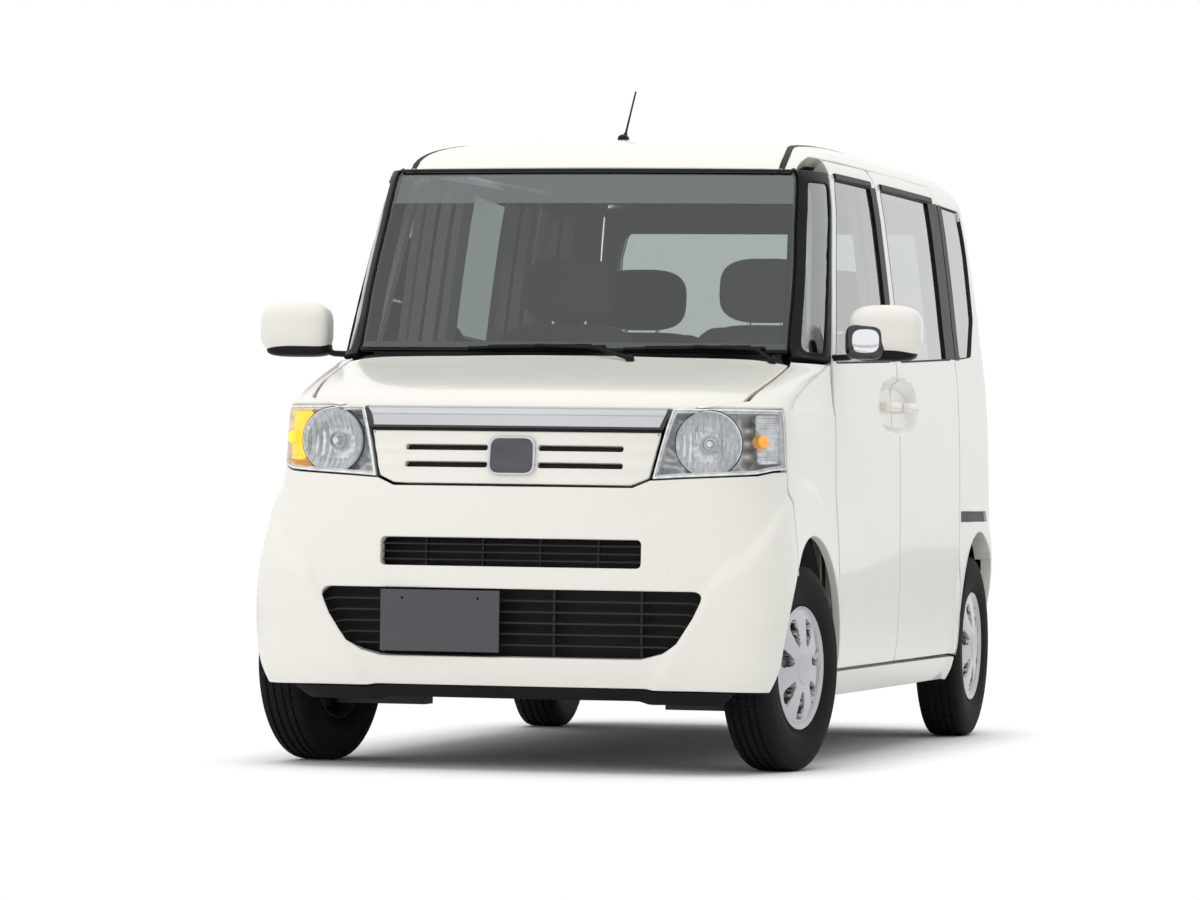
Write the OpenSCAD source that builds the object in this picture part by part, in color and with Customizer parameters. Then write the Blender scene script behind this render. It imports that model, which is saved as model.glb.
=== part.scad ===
// Tall two-box kei car: body panels, glass, cabin, running gear and wheels.
// Frame: origin on the ground under the middle of the car, +X forward, +Y to the car's left, +Z up.

/* [Running gear] */
// Distance between the front and rear axles
wheelbase = 2520; // [2450:1:2600]
// Distance from the nose of the bumper to the front axle
front_overhang = 450; // [430:1:480]
// Distance between the middles of the two tyres on one axle
track = 1305; // [1260:1:1320]
// Outer diameter of the tyres
tyre_d = 562; // [540:1:580]
// Width of the tyres
tyre_w = 145; // [125:1:155]
// Diameter of the wheel rim at the bead
rim_d = 330; // [300:1:360]
// Distance from the car's middle plane to the steering pivots
kingpin_y = 590; // [575:1:600]
// Angle that the front wheels stand at, clockwise seen from above
steer_rest = 9.5; // [0:0.5:20]
// Clearance between the tyre and the wheel arch
arch_gap = 54; // [50:1:70]

/* [Body] */
// Overall length of the body
body_l = 3395; // [3350:1:3450]
// Overall width of the body without its mirrors
body_w = 1475; // [1440:1:1520]
// Height of the roof above the ground
body_h = 1780; // [1740:1:1860]
// Thickness of the doors and the tailgate
door_t = 50; // [40:1:60]
// Thickness of the body's side walls and pillars
wall_t = 85; // [75:1:95]
// Thickness of the roof panel with its bows
roof_t = 36; // [28:1:45]
// Thickness of the fenders
fender_t = 12; // [8:1:20]
// Thickness of the bumpers
bumper_t = 22; // [16:1:30]
// Thickness of the hood with its frame
hood_t = 20; // [14:1:26]
// Thickness of the window glass
glass_t = 5; // [4:0.5:7]
// Gap between neighbouring panels
panel_gap = 7; // [6.5:0.5:9]

/* [Cabin] */
// Width of a front seat
seat_w = 500; // [440:1:520]
// Distance from the car's middle plane to the middle of a front seat
seat_y = 300; // [280:1:320]
// Diameter of the steering wheel
steering_wheel_d = 360; // [340:1:380]

/* [Hidden] */
$fn = 48;

// ---- Driving places
nose_x = body_l / 2;
front_axle_x = nose_x - front_overhang;
rear_axle_x = front_axle_x - wheelbase;
tyre_r = tyre_d / 2;
wheel_y = track / 2;
arch_r = tyre_r + arch_gap;
arch_z = tyre_r + 19;
side_y = body_w / 2;
door_split_x = 20;
door_front_x = 880;
rail_x = -940;
sill_top_z = 258;
bumper_bottom_z = 225;
lamp_top_z = 978;
lamp_bottom_z = 790;
lamp_rear_x = 1433;
belt_z = 1120;
glass_top_z = 1642;
header_z = 1655;
tailgate_bottom_z = 640;
tailgate_top_z = 1690;
ditch_y = 545;
hood_rear_x = 1140;
hinge_side = 4;
far = 3000;

// ---- The body's form: its plan outline at each height.
// Columns: height, nose x, flat nose half-width, nose bow, corner x, corner y, side start x,
// side start y, half-width amidships, tail x. All for a body 3395 long, 1475 wide and 1780 high.
FORM = [
    [180, 1640, 480, 25, 1600, 640, 1480, 660, 690, -1640],
    [225, 1675, 520, 25, 1650, 700, 1500, 706, 712, -1672],
    [300, 1692, 525, 28, 1668, 730, 1500, 733, 728, -1690],
    [410, 1697.5, 530, 28, 1672, 738, 1505, 737.5, 735, -1697.5],
    [520, 1697, 530, 28, 1662, 734, 1500, 736, 737.5, -1697.5],
    [600, 1694, 520, 28, 1650, 720, 1480, 730, 737.5, -1694],
    [700, 1688, 500, 30, 1625, 702, 1440, 716, 737, -1680],
    [790, 1680, 470, 32, 1605, 692, 1400, 708, 736, -1674],
    [900, 1665, 440, 34, 1590, 690, 1380, 708, 734, -1668],
    [975, 1650, 425, 32, 1580, 685, 1370, 706, 731, -1665],
    [1000, 1625, 420, 32, 1545, 672, 1330, 700, 730, -1664],
    [1030, 1560, 420, 35, 1470, 668, 1240, 700, 728, -1662],
    [1060, 1440, 430, 38, 1360, 665, 1130, 702, 726, -1660],
    [1090, 1300, 440, 42, 1225, 664, 1000, 704, 724, -1658],
    [1115, 1190, 470, 46, 1115, 660, 900, 704, 722, -1656],
    [1135, 1120, 540, 50, 1075, 650, 880, 702, 720, -1654],
    [1250, 1066, 530, 50, 1018, 640, 830, 690, 706, -1645],
    [1400, 996, 515, 48, 945, 630, 770, 672, 688, -1628],
    [1550, 905, 505, 42, 868, 620, 700, 655, 667, -1604],
    [1655, 835, 500, 35, 825, 612, 640, 632, 648, -1584],
    [1688, 800, 470, 40, 770, 590, 560, 612, 631, -1572],
    [1720, 735, 420, 60, 680, 560, 430, 585, 605, -1546],
    [1746, 620, 350, 80, 520, 515, 240, 545, 565, -1490],
    [1765, 430, 260, 100, 300, 450, 60, 485, 500, -1380],
    [1776, 130, 180, 100, -20, 340, -150, 370, 380, -1150],
    [1780, -150, 120, 60, -200, 230, -250, 240, 245, -900]];
FORM_L = 3395;
FORM_W = 1475;
FORM_H = 1780;
amidships_x = -300;
seat_gap = 0.4;

function bezier(a, b, c, t) = (1 - t) * (1 - t) * a + 2 * t * (1 - t) * b + t * t * c;

// Half of the plan outline for one row of FORM, from nose to tail, set in by t
function half_outline(row, t) =
    let (kx = body_l / FORM_L, ky = body_w / FORM_W,
         nose = row[1] * kx - t, flat_y = row[2] * ky - t / 2, bow = row[3] * kx,
         corner = [row[4] * kx - t, row[5] * ky - t], side = [row[6] * kx - t / 2, row[7] * ky - t],
         mid_y = row[8] * ky - t, tail = row[9] * kx + t, tail_side = [tail + 230, mid_y - 8])
    concat(
        [for (k = [0 : 3]) [nose - bow * k * k / 9, flat_y * k / 3]],
        [for (k = [1 : 7]) bezier([nose - bow, flat_y], corner, side, k / 7)],
        [for (k = [1 : 3]) [side.x + (amidships_x - side.x) * k / 3,
            side.y + (mid_y - side.y) * (1 - pow(1 - k / 3, 2))]],
        [for (k = [1 : 2]) [amidships_x + (tail_side.x - amidships_x) * k / 2, mid_y - 2 * k * k]],
        [for (k = [1 : 5]) bezier(tail_side, [tail + 18, mid_y - 14], [tail + 14, mid_y - 190], k / 5)],
        [[tail, 0]]);

// How much of an inset also lowers a row: none on the upright lower body, all of it from the hood up
function drop(z) = min(max((z - 600) / 400, 0), 1);

// The whole body as one closed form, set in by t
module form(t = 0) {
    rows = [for (r = FORM) concat([r[0] * body_h / FORM_H - t * drop(r[0])], [half_outline(r, t)])];
    all_rows = t > 0 ? concat([[100, rows[0][1]]], rows) : rows;
    n = len(rows[0][1]);
    ring = 2 * n - 2;
    points = [for (r = all_rows) each concat([for (p = r[1]) [p.x, p.y, r[0]]],
        [for (i = [n - 2 : -1 : 1]) [r[1][i].x, -r[1][i].y, r[0]]])];
    m = len(all_rows);
    faces = concat(
        [for (j = [0 : m - 2]) for (i = [0 : ring - 1]) let (k = (i + 1) % ring)
            [j * ring + i, (j + 1) * ring + i, (j + 1) * ring + k]],
        [for (j = [0 : m - 2]) for (i = [0 : ring - 1]) let (k = (i + 1) % ring)
            [j * ring + i, (j + 1) * ring + k, j * ring + k]],
        [[for (i = [0 : ring - 1]) i]],
        [[for (i = [ring - 1 : -1 : 0]) (m - 1) * ring + i]]);
    polyhedron(points, faces, convexity = 8);
}

// The layer of the body between two depths under its skin
module layer(from, to) {
    difference() {
        form(from);
        form(to);
    }
}

// A curved panel, kept as one mesh
module panel() resize([0, 0, 0]) children();

// Prisms over an outline seen from the side, the front and the top
module side_prism(outline, y0 = 250, y1 = far, grow = 0) {
    translate([0, y1, 0]) rotate([90, 0, 0]) linear_extrude(y1 - y0) offset(delta = grow) polygon(outline);
}
module front_prism(outline, x0 = 900, x1 = far, grow = 0) {
    translate([x0, 0, 0]) rotate([90, 0, 90]) linear_extrude(x1 - x0) offset(delta = grow) polygon(outline);
}
module top_prism(outline, z0 = 900, z1 = far) {
    translate([0, 0, z0]) linear_extrude(z1 - z0) polygon(outline);
}
module both_sides() {
    children();
    mirror([0, 1, 0]) children();
}
module wheel_arch(x, y0 = 250, r = arch_r) {
    translate([x, far, arch_z]) rotate([90, 0, 0]) cylinder(h = far - y0, r = r);
    translate([x - r, y0, -50]) cube([2 * r, far - y0, arch_z + 50]);
}

// A window in a side wall: a rebate that the glass sits in, and a smaller hole right through
rebate_w = 14;
glass_in = 4;
module side_window(outline) {
    difference() {
        side_prism(outline, grow = seat_gap);
        form(glass_in + glass_t + seat_gap);
    }
    side_prism(outline, grow = -rebate_w);
}

// ---- Outlines of the panels, seen from the side
door_top_z = 1702;
front_door = [[door_split_x + panel_gap / 2, sill_top_z + panel_gap], [door_front_x, sill_top_z + panel_gap],
    [door_front_x, belt_z - 12], [868, belt_z], [612, 1650], [560, door_top_z],
    [door_split_x + panel_gap / 2, door_top_z]];
front_window = [[95, belt_z + 22], [820, belt_z + 2], [792, 1180], [590, 1600], [560, glass_top_z],
    [85, glass_top_z]];
sliding_door = [[rail_x + panel_gap, sill_top_z + panel_gap], [door_split_x - panel_gap / 2, sill_top_z + panel_gap],
    [door_split_x - panel_gap / 2, door_top_z], [rail_x + panel_gap, door_top_z]];
sliding_window = [[-862, belt_z + 50], [-45, belt_z + 24], [-40, glass_top_z], [-850, glass_top_z]];
door_opening = [[rail_x, sill_top_z], [door_front_x + panel_gap, sill_top_z], [door_front_x + panel_gap, belt_z - 8],
    [876, belt_z + 4], [620, 1654], [563, door_top_z + panel_gap], [rail_x, door_top_z + panel_gap]];
door_jamb = [[rail_x + 40, sill_top_z + 45], [door_front_x - 40, sill_top_z + 45], [door_front_x - 40, belt_z],
    [545, door_top_z - 50], [rail_x + 40, door_top_z - 50]];
quarter_window = [[-1225, belt_z + 65], [-1010, belt_z + 54], [-1000, glass_top_z], [-1330, glass_top_z - 4],
    [-1352, 1500], [-1335, 1300]];
front_quarter_window = [[905, belt_z + 26], [1000, belt_z + 26], [768, 1625], [648, 1625]];
windshield_side = [[1300, belt_z], [1064, belt_z], [1010, 1250], [945, 1400], [865, 1550], [797, header_z], [1300, header_z]];
bumper_split = [[1428, 805], [1484, 537]];

// ---- Fixed body
roof_base_z = header_z + 8;
tailgate_outline = [[-585, tailgate_bottom_z], [585, tailgate_bottom_z], [592, 1250], [545, tailgate_top_z],
    [-545, tailgate_top_z], [-592, 1250]];
jamb = door_t + panel_gap + 1.5;
module roof_panel() color("ivory") panel() {
    intersection() {
        layer(0, roof_t);
        top_prism([[900, -ditch_y], [900, ditch_y], [-1490, ditch_y], [-1490, -ditch_y]], roof_base_z);
    }
    // rear edge over the tailgate, with the flange that the tailgate closes on
    intersection() {
        layer(0, wall_t);
        top_prism([[-1440, -ditch_y], [-1440, ditch_y], [-far, ditch_y], [-far, -ditch_y]],
            tailgate_top_z + panel_gap);
    }
    translate([tailgate_front_x + panel_gap, -ditch_y, 1652]) cube([50, 2 * ditch_y, 60]);
}

// One side: sill, pillars, roof rail and rear quarter
tailgate_front_x = -1500;
side_outline = [[-far, 200], [912, 200], [912, 1106], [1066, 1122], [800, 1676], [800, 1900], [-far, 1900]];
fender_top = [[door_front_x + panel_gap, 1104], [1066 + seat_gap, 1122 - seat_gap], [1066 + seat_gap, 1160]];
module body_side() {
    difference() {
        union() {
            // outer wall round the door opening, and under the windshield's edge
            difference() {
                intersection() {
                    layer(0, wall_t);
                    side_prism(side_outline);
                }
                side_prism(door_opening);
                translate([-far, -far, 1500]) cube([2 * far, far + ditch_y + seat_gap, 400]);
                front_prism(tailgate_outline, -far, -1450, grow = panel_gap);
            }
            // inner frame that the doors close on, with the middle pillar
            intersection() {
                layer(jamb, wall_t);
                difference() {
                    side_prism([[rail_x - 20, 238], [910, 238], [910, belt_z], [600, 1720], [rail_x - 20, 1720]],
                        ditch_y + seat_gap);
                    side_prism(door_jamb);
                }
            }
            intersection() {
                layer(jamb, wall_t);
                side_prism([[-35, 238], [75, 238], [75, 1700], [-35, 1700]], ditch_y + seat_gap);
            }
            // flange that the tailgate closes on
            difference() {
                intersection() {
                    layer(jamb, wall_t);
                    translate([-far - 1460, 250, tailgate_bottom_z - 40]) cube([far, far, 1780 - tailgate_bottom_z]);
                }
                front_prism(tailgate_outline, -far, -1400, grow = -35);
                translate([-far, -far, 1640]) cube([2 * far, far + ditch_y + seat_gap, 400]);
            }
        }
        side_window(quarter_window);
        side_window(front_quarter_window);
        windshield_rebate();
        wheel_arch(rear_axle_x);
        front_prism(windshield_hole, 400);
        // places of the fender, the tail lamps and the rear bumper
        difference() {
            side_prism([[883, 100], [2000, 100], [2000, 1210], fender_top[1], fender_top[0], [883, 1104]], 0,
                grow = seat_gap);
            form(fender_t + seat_gap);
        }
        lamp_place_rear(seat_gap);
        translate([-far - 1500, 0, 0]) cube([far, far, bumper_top_z + seat_gap]);
    }
}
bumper_top_z = tailgate_bottom_z - 7.5;
windshield_hole = [[-572, 1090], [572, 1090], [508, roof_base_z], [-508, roof_base_z]];
module windshield_rebate() {
    difference() {
        side_prism(windshield_side, 0, grow = seat_gap);
        form(1 + glass_t + seat_gap);
    }
}
module lamp_place_rear(gap = 0) {
    translate([-far - 1562 + gap, 600 - gap, 800 - gap]) cube([far, far, 430 + 2 * gap]);
}
module body_sides() color("ivory") both_sides() panel() body_side();

// Bulkhead with the black panel below the windshield
module front_bulkhead() color([0.09, 0.09, 0.1]) panel() {
    intersection() {
        translate([890.5, -700, 290.5]) cube([20, 1400, 760]);
        form(wall_t + 2 * seat_gap);
    }
    translate([895, -560, 1030]) cube([210, 1120, 12]);
    difference() {
        intersection() {
            union() {
                layer(6, 34);
                translate([1085, -574, 1030]) cube([14, 1148, 90]);
            }
            form(6);
            top_prism([[1150, -574], [1150, 574], [1100, 574], [1100, 634], [1067, 634], [1067, 565], [1000, 565],
                [1000, -565], [1067, -565], [1067, -634], [1100, -634], [1100, -574]], 1030, 1136.6);
        }
        translate([0, 0, 1020]) linear_extrude(200) hood_outline(panel_gap);
    }
}

// Inner wings: the engine bay's side walls, the front wheel housings, strut towers and hood stops
module inner_wings() color([0.09, 0.09, 0.1]) both_sides() panel() {
    translate([911, 392, 300]) cube([554, 10, 640]);
    intersection() {
        translate([1400, 392, 900]) cube([20, 10, 220]);
        form(hood_t + seat_gap);
    }
    intersection() {
        difference() {
            translate([front_axle_x, 700, arch_z]) rotate([90, 0, 0]) cylinder(h = 304, r = arch_r + 16);
            translate([front_axle_x, 800, arch_z]) rotate([90, 0, 0]) cylinder(h = 500, r = arch_r + 6);
            translate([0, 0, -100]) cube([far, far, arch_z + 40]);
        }
        form(bumper_t + seat_gap);
        translate([912.5, 0, 0]) cube([far, far, far]);
    }
    difference() {
        translate([1197, 396, 652]) cube([100, 240, 12]);
        translate([front_axle_x, 800, arch_z]) rotate([90, 0, 0]) cylinder(h = 500, r = arch_r + 6);
    }
}

module front_fenders() color("ivory") both_sides() panel()
    difference() {
        intersection() {
            layer(0, fender_t);
            side_prism([[door_front_x + panel_gap, 205], [1480, 300], bumper_split[1], bumper_split[0],
                [1700, 805], [1700, 1160], fender_top[2], fender_top[1], fender_top[0]], 400);
        }
        wheel_arch(front_axle_x);
        lamp_place(seat_gap);
        translate([0, 0, 900]) linear_extrude(300) hood_outline(panel_gap);
        translate([1040, 0, 1000]) cube([54, 634 + seat_gap, 200]);
        translate([1040, 0, 1000]) cube([200, 620, 200]);
        translate([1000, 0, 1136]) cube([400, far, 200]);
        translate([1400, 0, 0]) cube([400, 450, 1200]);
        translate([1440, 0, 0]) cube([400, far, lamp_top_z]);
    }

// The hood's outline from above
module hood_outline(gap = 0) {
    polygon([[hood_rear_x - gap, 0], [hood_rear_x - 6 - gap, 300], [1108 - gap, 560], [1096 - gap, 630 + gap],
        [1300, 626 + gap], [1500, 604 + gap], [1700, 590 + gap], [1700, -590 - gap], [1500, -604 - gap],
        [1300, -626 - gap], [1096 - gap, -630 - gap], [1108 - gap, -560], [hood_rear_x - 6 - gap, -300]]);
}
module hood() color("ivory") panel()
    intersection() {
        layer(0, hood_t);
        translate([0, 0, lamp_top_z + 5]) linear_extrude(200) hood_outline();
    }

module floor_pan() color([0.16, 0.16, 0.17]) panel()
    difference() {
        intersection() {
            union() {
                translate([-1600, -700, 290]) cube([2490, 1400, 40]);
                translate([-1040, -100, 262]) cube([1900, 200, 40]);
                // load floor over the rear axle and its walls
                translate([-1660, -700, 560]) cube([700, 1400, 16]);
                translate([-976, -700, 320]) cube([16, 1400, 250]);
                translate([-1600, -700, 320]) cube([16, 1400, 250]);
                both_sides() translate([rear_axle_x, 700, arch_z]) rotate([90, 0, 0])
                    cylinder(h = 170, r = arch_r + 16);
            }
            form(wall_t + 2 * seat_gap);
            translate([-far, -far, 262]) cube([2 * far, 2 * far, far]);
        }
        both_sides() {
            translate([rear_axle_x, 750, arch_z]) rotate([90, 0, 0]) cylinder(h = 208, r = arch_r);
            translate([rear_axle_x - arch_r, 542, 100]) cube([2 * arch_r, 208, arch_z - 100]);
            // room for the hub
            translate([rear_axle_x - 60, 480, 250]) cube([120, 300, 100]);
        }
    }

// ---- Nose
module lamp_outline(gap = 0) {
    polygon([[383 - gap, lamp_bottom_z - gap], [430 - gap, lamp_top_z + gap], [760, lamp_top_z + gap],
        [760, 818 - gap], [650, 806 - gap]]);
}
module lamp_place(gap = 0) {
    translate([lamp_rear_x - gap, 0, 0]) rotate([90, 0, 90]) linear_extrude(400) lamp_outline(gap);
}
module headlamps() color([0.85, 0.88, 0.9]) both_sides() panel()
    intersection() {
        layer(1, 70);
        lamp_place();
    }
grille_outline = [[-378, lamp_bottom_z - 3], [-330, 766], [330, 766], [378, lamp_bottom_z - 3], [406, 916], [-406, 916]];
module radiator_grille() color("ivory") panel()
    difference() {
        intersection() {
            layer(6, 40);
            front_prism(grille_outline, 1400);
        }
        // slots
        for (z = [822, 868]) both_sides()
            front_prism([[70, z - 5], [300, z - 5], [305, z], [300, z + 5], [70, z + 5]], 1600);
    }
module chrome_bar() color("silver") panel()
    intersection() {
        layer(-2, 34);
        front_prism([[-404, 916.5], [404, 916.5], [426, lamp_top_z - 2], [-426, lamp_top_z - 2]], 1400);
    }
upper_intake = [[-352, 551], [352, 551], [358, 560], [358, 616], [352, 623], [-352, 623], [-358, 616], [-358, 560]];
lower_intake = [[-530, 487], [530, 487], [500, 420], [455, 350], [415, 322], [360, 308], [-360, 308], [-415, 322],
    [-455, 350], [-500, 420]];
module front_bumper() color("ivory") panel()
    difference() {
        intersection() {
            layer(0, bumper_t);
            translate([1300, -far, bumper_bottom_z]) cube([600, 2 * far, 750]);
        }
        both_sides() {
            side_prism([[1200, 1000], [1429, 1000], bumper_split[0] + [seat_gap, 0], bumper_split[1] + [seat_gap, 0],
                [1484, 200], [1200, 200]]);
            wheel_arch(front_axle_x);
            lamp_place(seat_gap);
            front_prism([[350, 800], [900, 800], [900, 1000], [350, 1000]], 1200);
        }
        front_prism(grille_outline, 1400, grow = seat_gap);
        translate([1400, -430, 900]) cube([400, 860, 200]);
        front_prism(upper_intake, 1400);
        front_prism(lower_intake, 1400);
    }

// Bars behind the two openings, with posts that carry the number plate
module intake_grille() color([0.05, 0.05, 0.055]) panel() {
    intersection() {
        union() {
            for (z = [556, 575, 594, 613]) translate([1630, -400, z]) cube([40, 800, 5]);
            for (z = [290, 335, 380, 425, 470, 500]) translate([1622, -600, z]) cube([70, 1200, 6]);
            for (y = [-380, -190, 0, 190, 372]) translate([1634, y, 292]) cube([16, 8, 344]);
            both_sides() translate([1630, 480, 292]) cube([16, 8, 214]);
        }
        form(bumper_t + seat_gap);
    }
    for (y = [-1, 1]) translate([1640, plate_y + y * plate_hole_y - 14, plate_hole_z - 12])
        cube([nose_x - plate_t - 1640 - seat_gap, 28, 24]);
}
module front_skirt() color([0.09, 0.1, 0.1]) panel()
    intersection() {
        layer(14, 40);
        translate([1570, -600, 181]) cube([400, 1200, bumper_bottom_z - 181 - seat_gap]);
    }
plate_y = -188;
plate_hole_y = 105;
plate_hole_z = 462;
plate_t = 3;
module front_plate() color([0.2, 0.2, 0.22])
    difference() {
        translate([nose_x - plate_t, plate_y - 165, 319]) cube([plate_t, 330, 165]);
        for (y = [-1, 1]) translate([nose_x - 10, plate_y + y * plate_hole_y, plate_hole_z]) rotate([0, 90, 0])
            cylinder(h = 20, r = 3.5);
    }

// ---- Glass
module windshield() color([0.5, 0.55, 0.58, 0.4]) panel()
    intersection() {
        layer(1, 1 + glass_t);
        front_prism([[-660, 1137], [660, 1137], [582, roof_base_z - seat_gap], [-582, roof_base_z - seat_gap]], 700);
        both_sides() side_prism(windshield_side, 0);
    }
module side_glass() color([0.5, 0.55, 0.58, 0.4]) both_sides() for (w = [quarter_window, front_quarter_window])
    panel() intersection() {
        layer(glass_in, glass_in + glass_t);
        side_prism(w);
    }

// ---- Doors
module front_door() panel() {
    // latch that meets the middle pillar
    intersection() {
        layer(door_t - 4, jamb - seat_gap);
        translate([38, 400, 900]) cube([30, 400, 40]);
    }
    difference() {
        intersection() {
            layer(0, door_t);
            side_prism(front_door, ditch_y + panel_gap);
        }
        side_window(front_window);
        grip_recess(front_grip_x);
    }
}
module front_door_left() color("ivory") front_door();
module front_door_right() color("ivory") mirror([0, 1, 0]) front_door();
module front_door_glass() panel()
    intersection() {
        layer(glass_in, glass_in + glass_t);
        side_prism(front_window);
    }
module front_door_glass_left() color([0.5, 0.55, 0.58, 0.4]) front_door_glass();
module front_door_glass_right() color([0.5, 0.55, 0.58, 0.4]) mirror([0, 1, 0]) front_door_glass();
// Rollers and latch that hold a closed sliding door to its frame. Columns: x, z, length, height.
ROLLERS = [[-934, 700, 30, 40], [-700, 270, 60, 26], [-500, 1662, 60, 26], [-30, 880, 36, 40]];
module sliding_doors() color("ivory") both_sides() panel() {
    for (r = ROLLERS) intersection() {
        layer(door_t - 4, jamb - seat_gap);
        translate([r[0], 400, r[1]]) cube([r[2], 400, r[3]]);
    }
    difference() {
        intersection() {
            layer(0, door_t);
            side_prism(sliding_door, ditch_y + panel_gap);
        }
        side_window(sliding_window);
        grip_recess(rear_grip_x);
        wheel_arch(rear_axle_x);
    }
}
module sliding_door_glass() color([0.3, 0.32, 0.35, 0.5]) both_sides() panel()
    intersection() {
        layer(glass_in, glass_in + glass_t);
        side_prism(sliding_window);
    }
// Pull handle: a grip on two feet over a finger recess
front_grip_x = 150;
rear_grip_x = -110;
grip_l = 190;
module grip_recess(x) translate([x - grip_l / 2 + 26, side_y - 30, 985]) cube([grip_l - 52, 60, 56]);
module handle(x, len) panel() difference() {
    union() {
        translate([x - len / 2, side_y - 2, 1000]) cube([len, 14, 26]);
        for (e = [-1, 1]) translate([x + e * (len / 2 - 12) - 12, side_y - 20, 1002]) cube([24, 24, 22]);
    }
    form(-seat_gap);
}
module front_handle_left() color("ivory") handle(front_grip_x, grip_l);
module front_handle_right() color("ivory") mirror([0, 1, 0]) handle(front_grip_x, grip_l);
module door_handles() color("ivory") both_sides() handle(rear_grip_x, grip_l);

// Door mirror: a rounded housing on a foot at the door's front corner
module door_mirror() panel() difference() {
    union() {
        hull() for (y = [790, 915]) for (z = [1165, 1235])
            translate([858, y, z]) scale([1.1, 1, 1]) sphere(r = 42, $fn = 18);
        translate([822, 660, 1120]) cube([26, 110, 22]);
        translate([822, 745, 1120]) cube([26, 30, 50]);
    }
    form(-seat_gap);
}
module mirror_left() color("ivory") door_mirror();
module mirror_right() color("ivory") mirror([0, 1, 0]) door_mirror();

// ---- Tail
tailgate_window = [[-520, 1150], [520, 1150], [545, 1180], [525, 1500], [500, 1600], [-500, 1600], [-525, 1500],
    [-545, 1180]];
module tailgate() color("ivory") panel() {
    // stops that meet the flange of the body
    both_sides() intersection() {
        layer(door_t - 4, jamb - seat_gap);
        translate([-1700, 562, 900]) cube([300, 18, 40]);
    }
    difference() {
        intersection() {
            layer(0, door_t);
            front_prism(tailgate_outline, -far, tailgate_front_x);
        }
        difference() {
            front_prism(tailgate_window, -far, -1300, grow = seat_gap);
            form(glass_in + glass_t + seat_gap);
        }
        front_prism(tailgate_window, -far, -1300, grow = -rebate_w);
    }
}
module tailgate_glass() color([0.3, 0.32, 0.35, 0.5]) panel()
    intersection() {
        layer(glass_in, glass_in + glass_t);
        front_prism(tailgate_window, -far, -1300);
    }
module tail_lamps() color([0.7, 0.05, 0.06]) both_sides() panel()
    intersection() {
        layer(0, 45);
        lamp_place_rear();
    }
module rear_bumper() color("ivory") panel()
    difference() {
        intersection() {
            layer(0, bumper_t);
            translate([-far - 1500, -far, 235]) cube([far, 2 * far, bumper_top_z - 235]);
        }
        both_sides() wheel_arch(rear_axle_x);
    }

// ---- Cabin
steer_x = 560;
steer_z = 975;
steer_tilt = 28;
column_r = 20;
module column_place() translate([steer_x, -seat_y, steer_z]) rotate([0, 90 + steer_tilt, 0]) children();
module dashboard() color([0.12, 0.12, 0.13])
    difference() {
        union() {
            hull() {
                translate([880, -590, 760]) cube([10, 1180, 230]);
                translate([850, -585, 960]) cube([40, 1170, 80]);
                translate([700, -580, 830]) cube([40, 1160, 110]);
                translate([720, -580, 740]) cube([40, 1160, 20]);
            }
            translate([700, -110, 480]) cube([150, 220, 300]);
            column_place() translate([0, 0, 70]) cylinder(h = 160, r = 36);
        }
        column_place() cylinder(h = 260, r = column_r + 0.05);
    }
module steering_wheel() color([0.08, 0.08, 0.085])
    column_place() {
        rotate_extrude() translate([steering_wheel_d / 2 - 14, 0]) circle(r = 14);
        cylinder(h = 30, r = 62, center = true);
        for (a = [0, 120, 240]) rotate([0, 0, a]) translate([50, -18, -8]) cube([steering_wheel_d / 2 - 70, 36, 16]);
        cylinder(h = 240, r = column_r);
    }
module seat(w) {
    hull() for (x = [70, 480]) for (y = [-1, 1])
        translate([x, y * (w / 2 - 40), 620]) sphere(r = 55, $fn = 8);
    hull() for (p = [[30, 700], [-120, 1190]]) for (y = [-1, 1])
        translate([p[0], y * (w / 2 - 45), p[1]]) sphere(r = 45, $fn = 8);
    hull() for (z = [1290, 1400]) for (y = [-90, 90])
        translate([-125, y, z]) sphere(r = 42, $fn = 8);
    for (y = [-50, 50]) translate([-128, y, 1180]) cylinder(h = 110, r = 7);
    translate([80, -w / 2 + 60, 330 + seat_gap]) cube([380, w - 120, 240]);
}
module front_seats() color([0.28, 0.27, 0.26]) both_sides() translate([20, seat_y, 0]) seat(seat_w);
module rear_seat() color([0.28, 0.27, 0.26]) both_sides() translate([-900, seat_y, 0]) seat(seat_w + 60);

// ---- Under the body
floor_z = 290 - seat_gap;
module engine() color([0.35, 0.35, 0.36]) translate([1020, -340, 260]) cube([420, 680, 560]);
module drive_shafts() color([0.3, 0.3, 0.31]) both_sides() translate([front_axle_x, 340 + seat_gap, tyre_r]) rotate([-90, 0, 0]) {
    cylinder(h = 182, r = 12);
    cylinder(h = 40, r = 34);
    translate([0, 0, 140]) cylinder(h = 42, r = 30);
}
module fuel_tank() color([0.1, 0.1, 0.1]) translate([130, -520, 200]) cube([560, 360, floor_z - 200]);
pipe_z = 222;
module exhaust() color([0.5, 0.5, 0.5]) {
    translate([-1440, 150, pipe_z]) rotate([0, 90, 0]) cylinder(h = 2500, r = 20);
    translate([1040, 150, pipe_z]) cylinder(h = 260 - seat_gap - pipe_z, r = 20);
    translate([-1580, 0, pipe_z]) hull() for (y = [-60, 240]) translate([0, y, 0]) rotate([0, 90, 0]) cylinder(h = 150, r = 56, $fn = 24);
    for (x = [-700, 300]) translate([x, 140, pipe_z + 10]) cube([20, 20, floor_z - pipe_z - 10]);
    translate([-1520, 60, pipe_z + 40]) cube([20, 20, floor_z - pipe_z - 40]);
}
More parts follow.
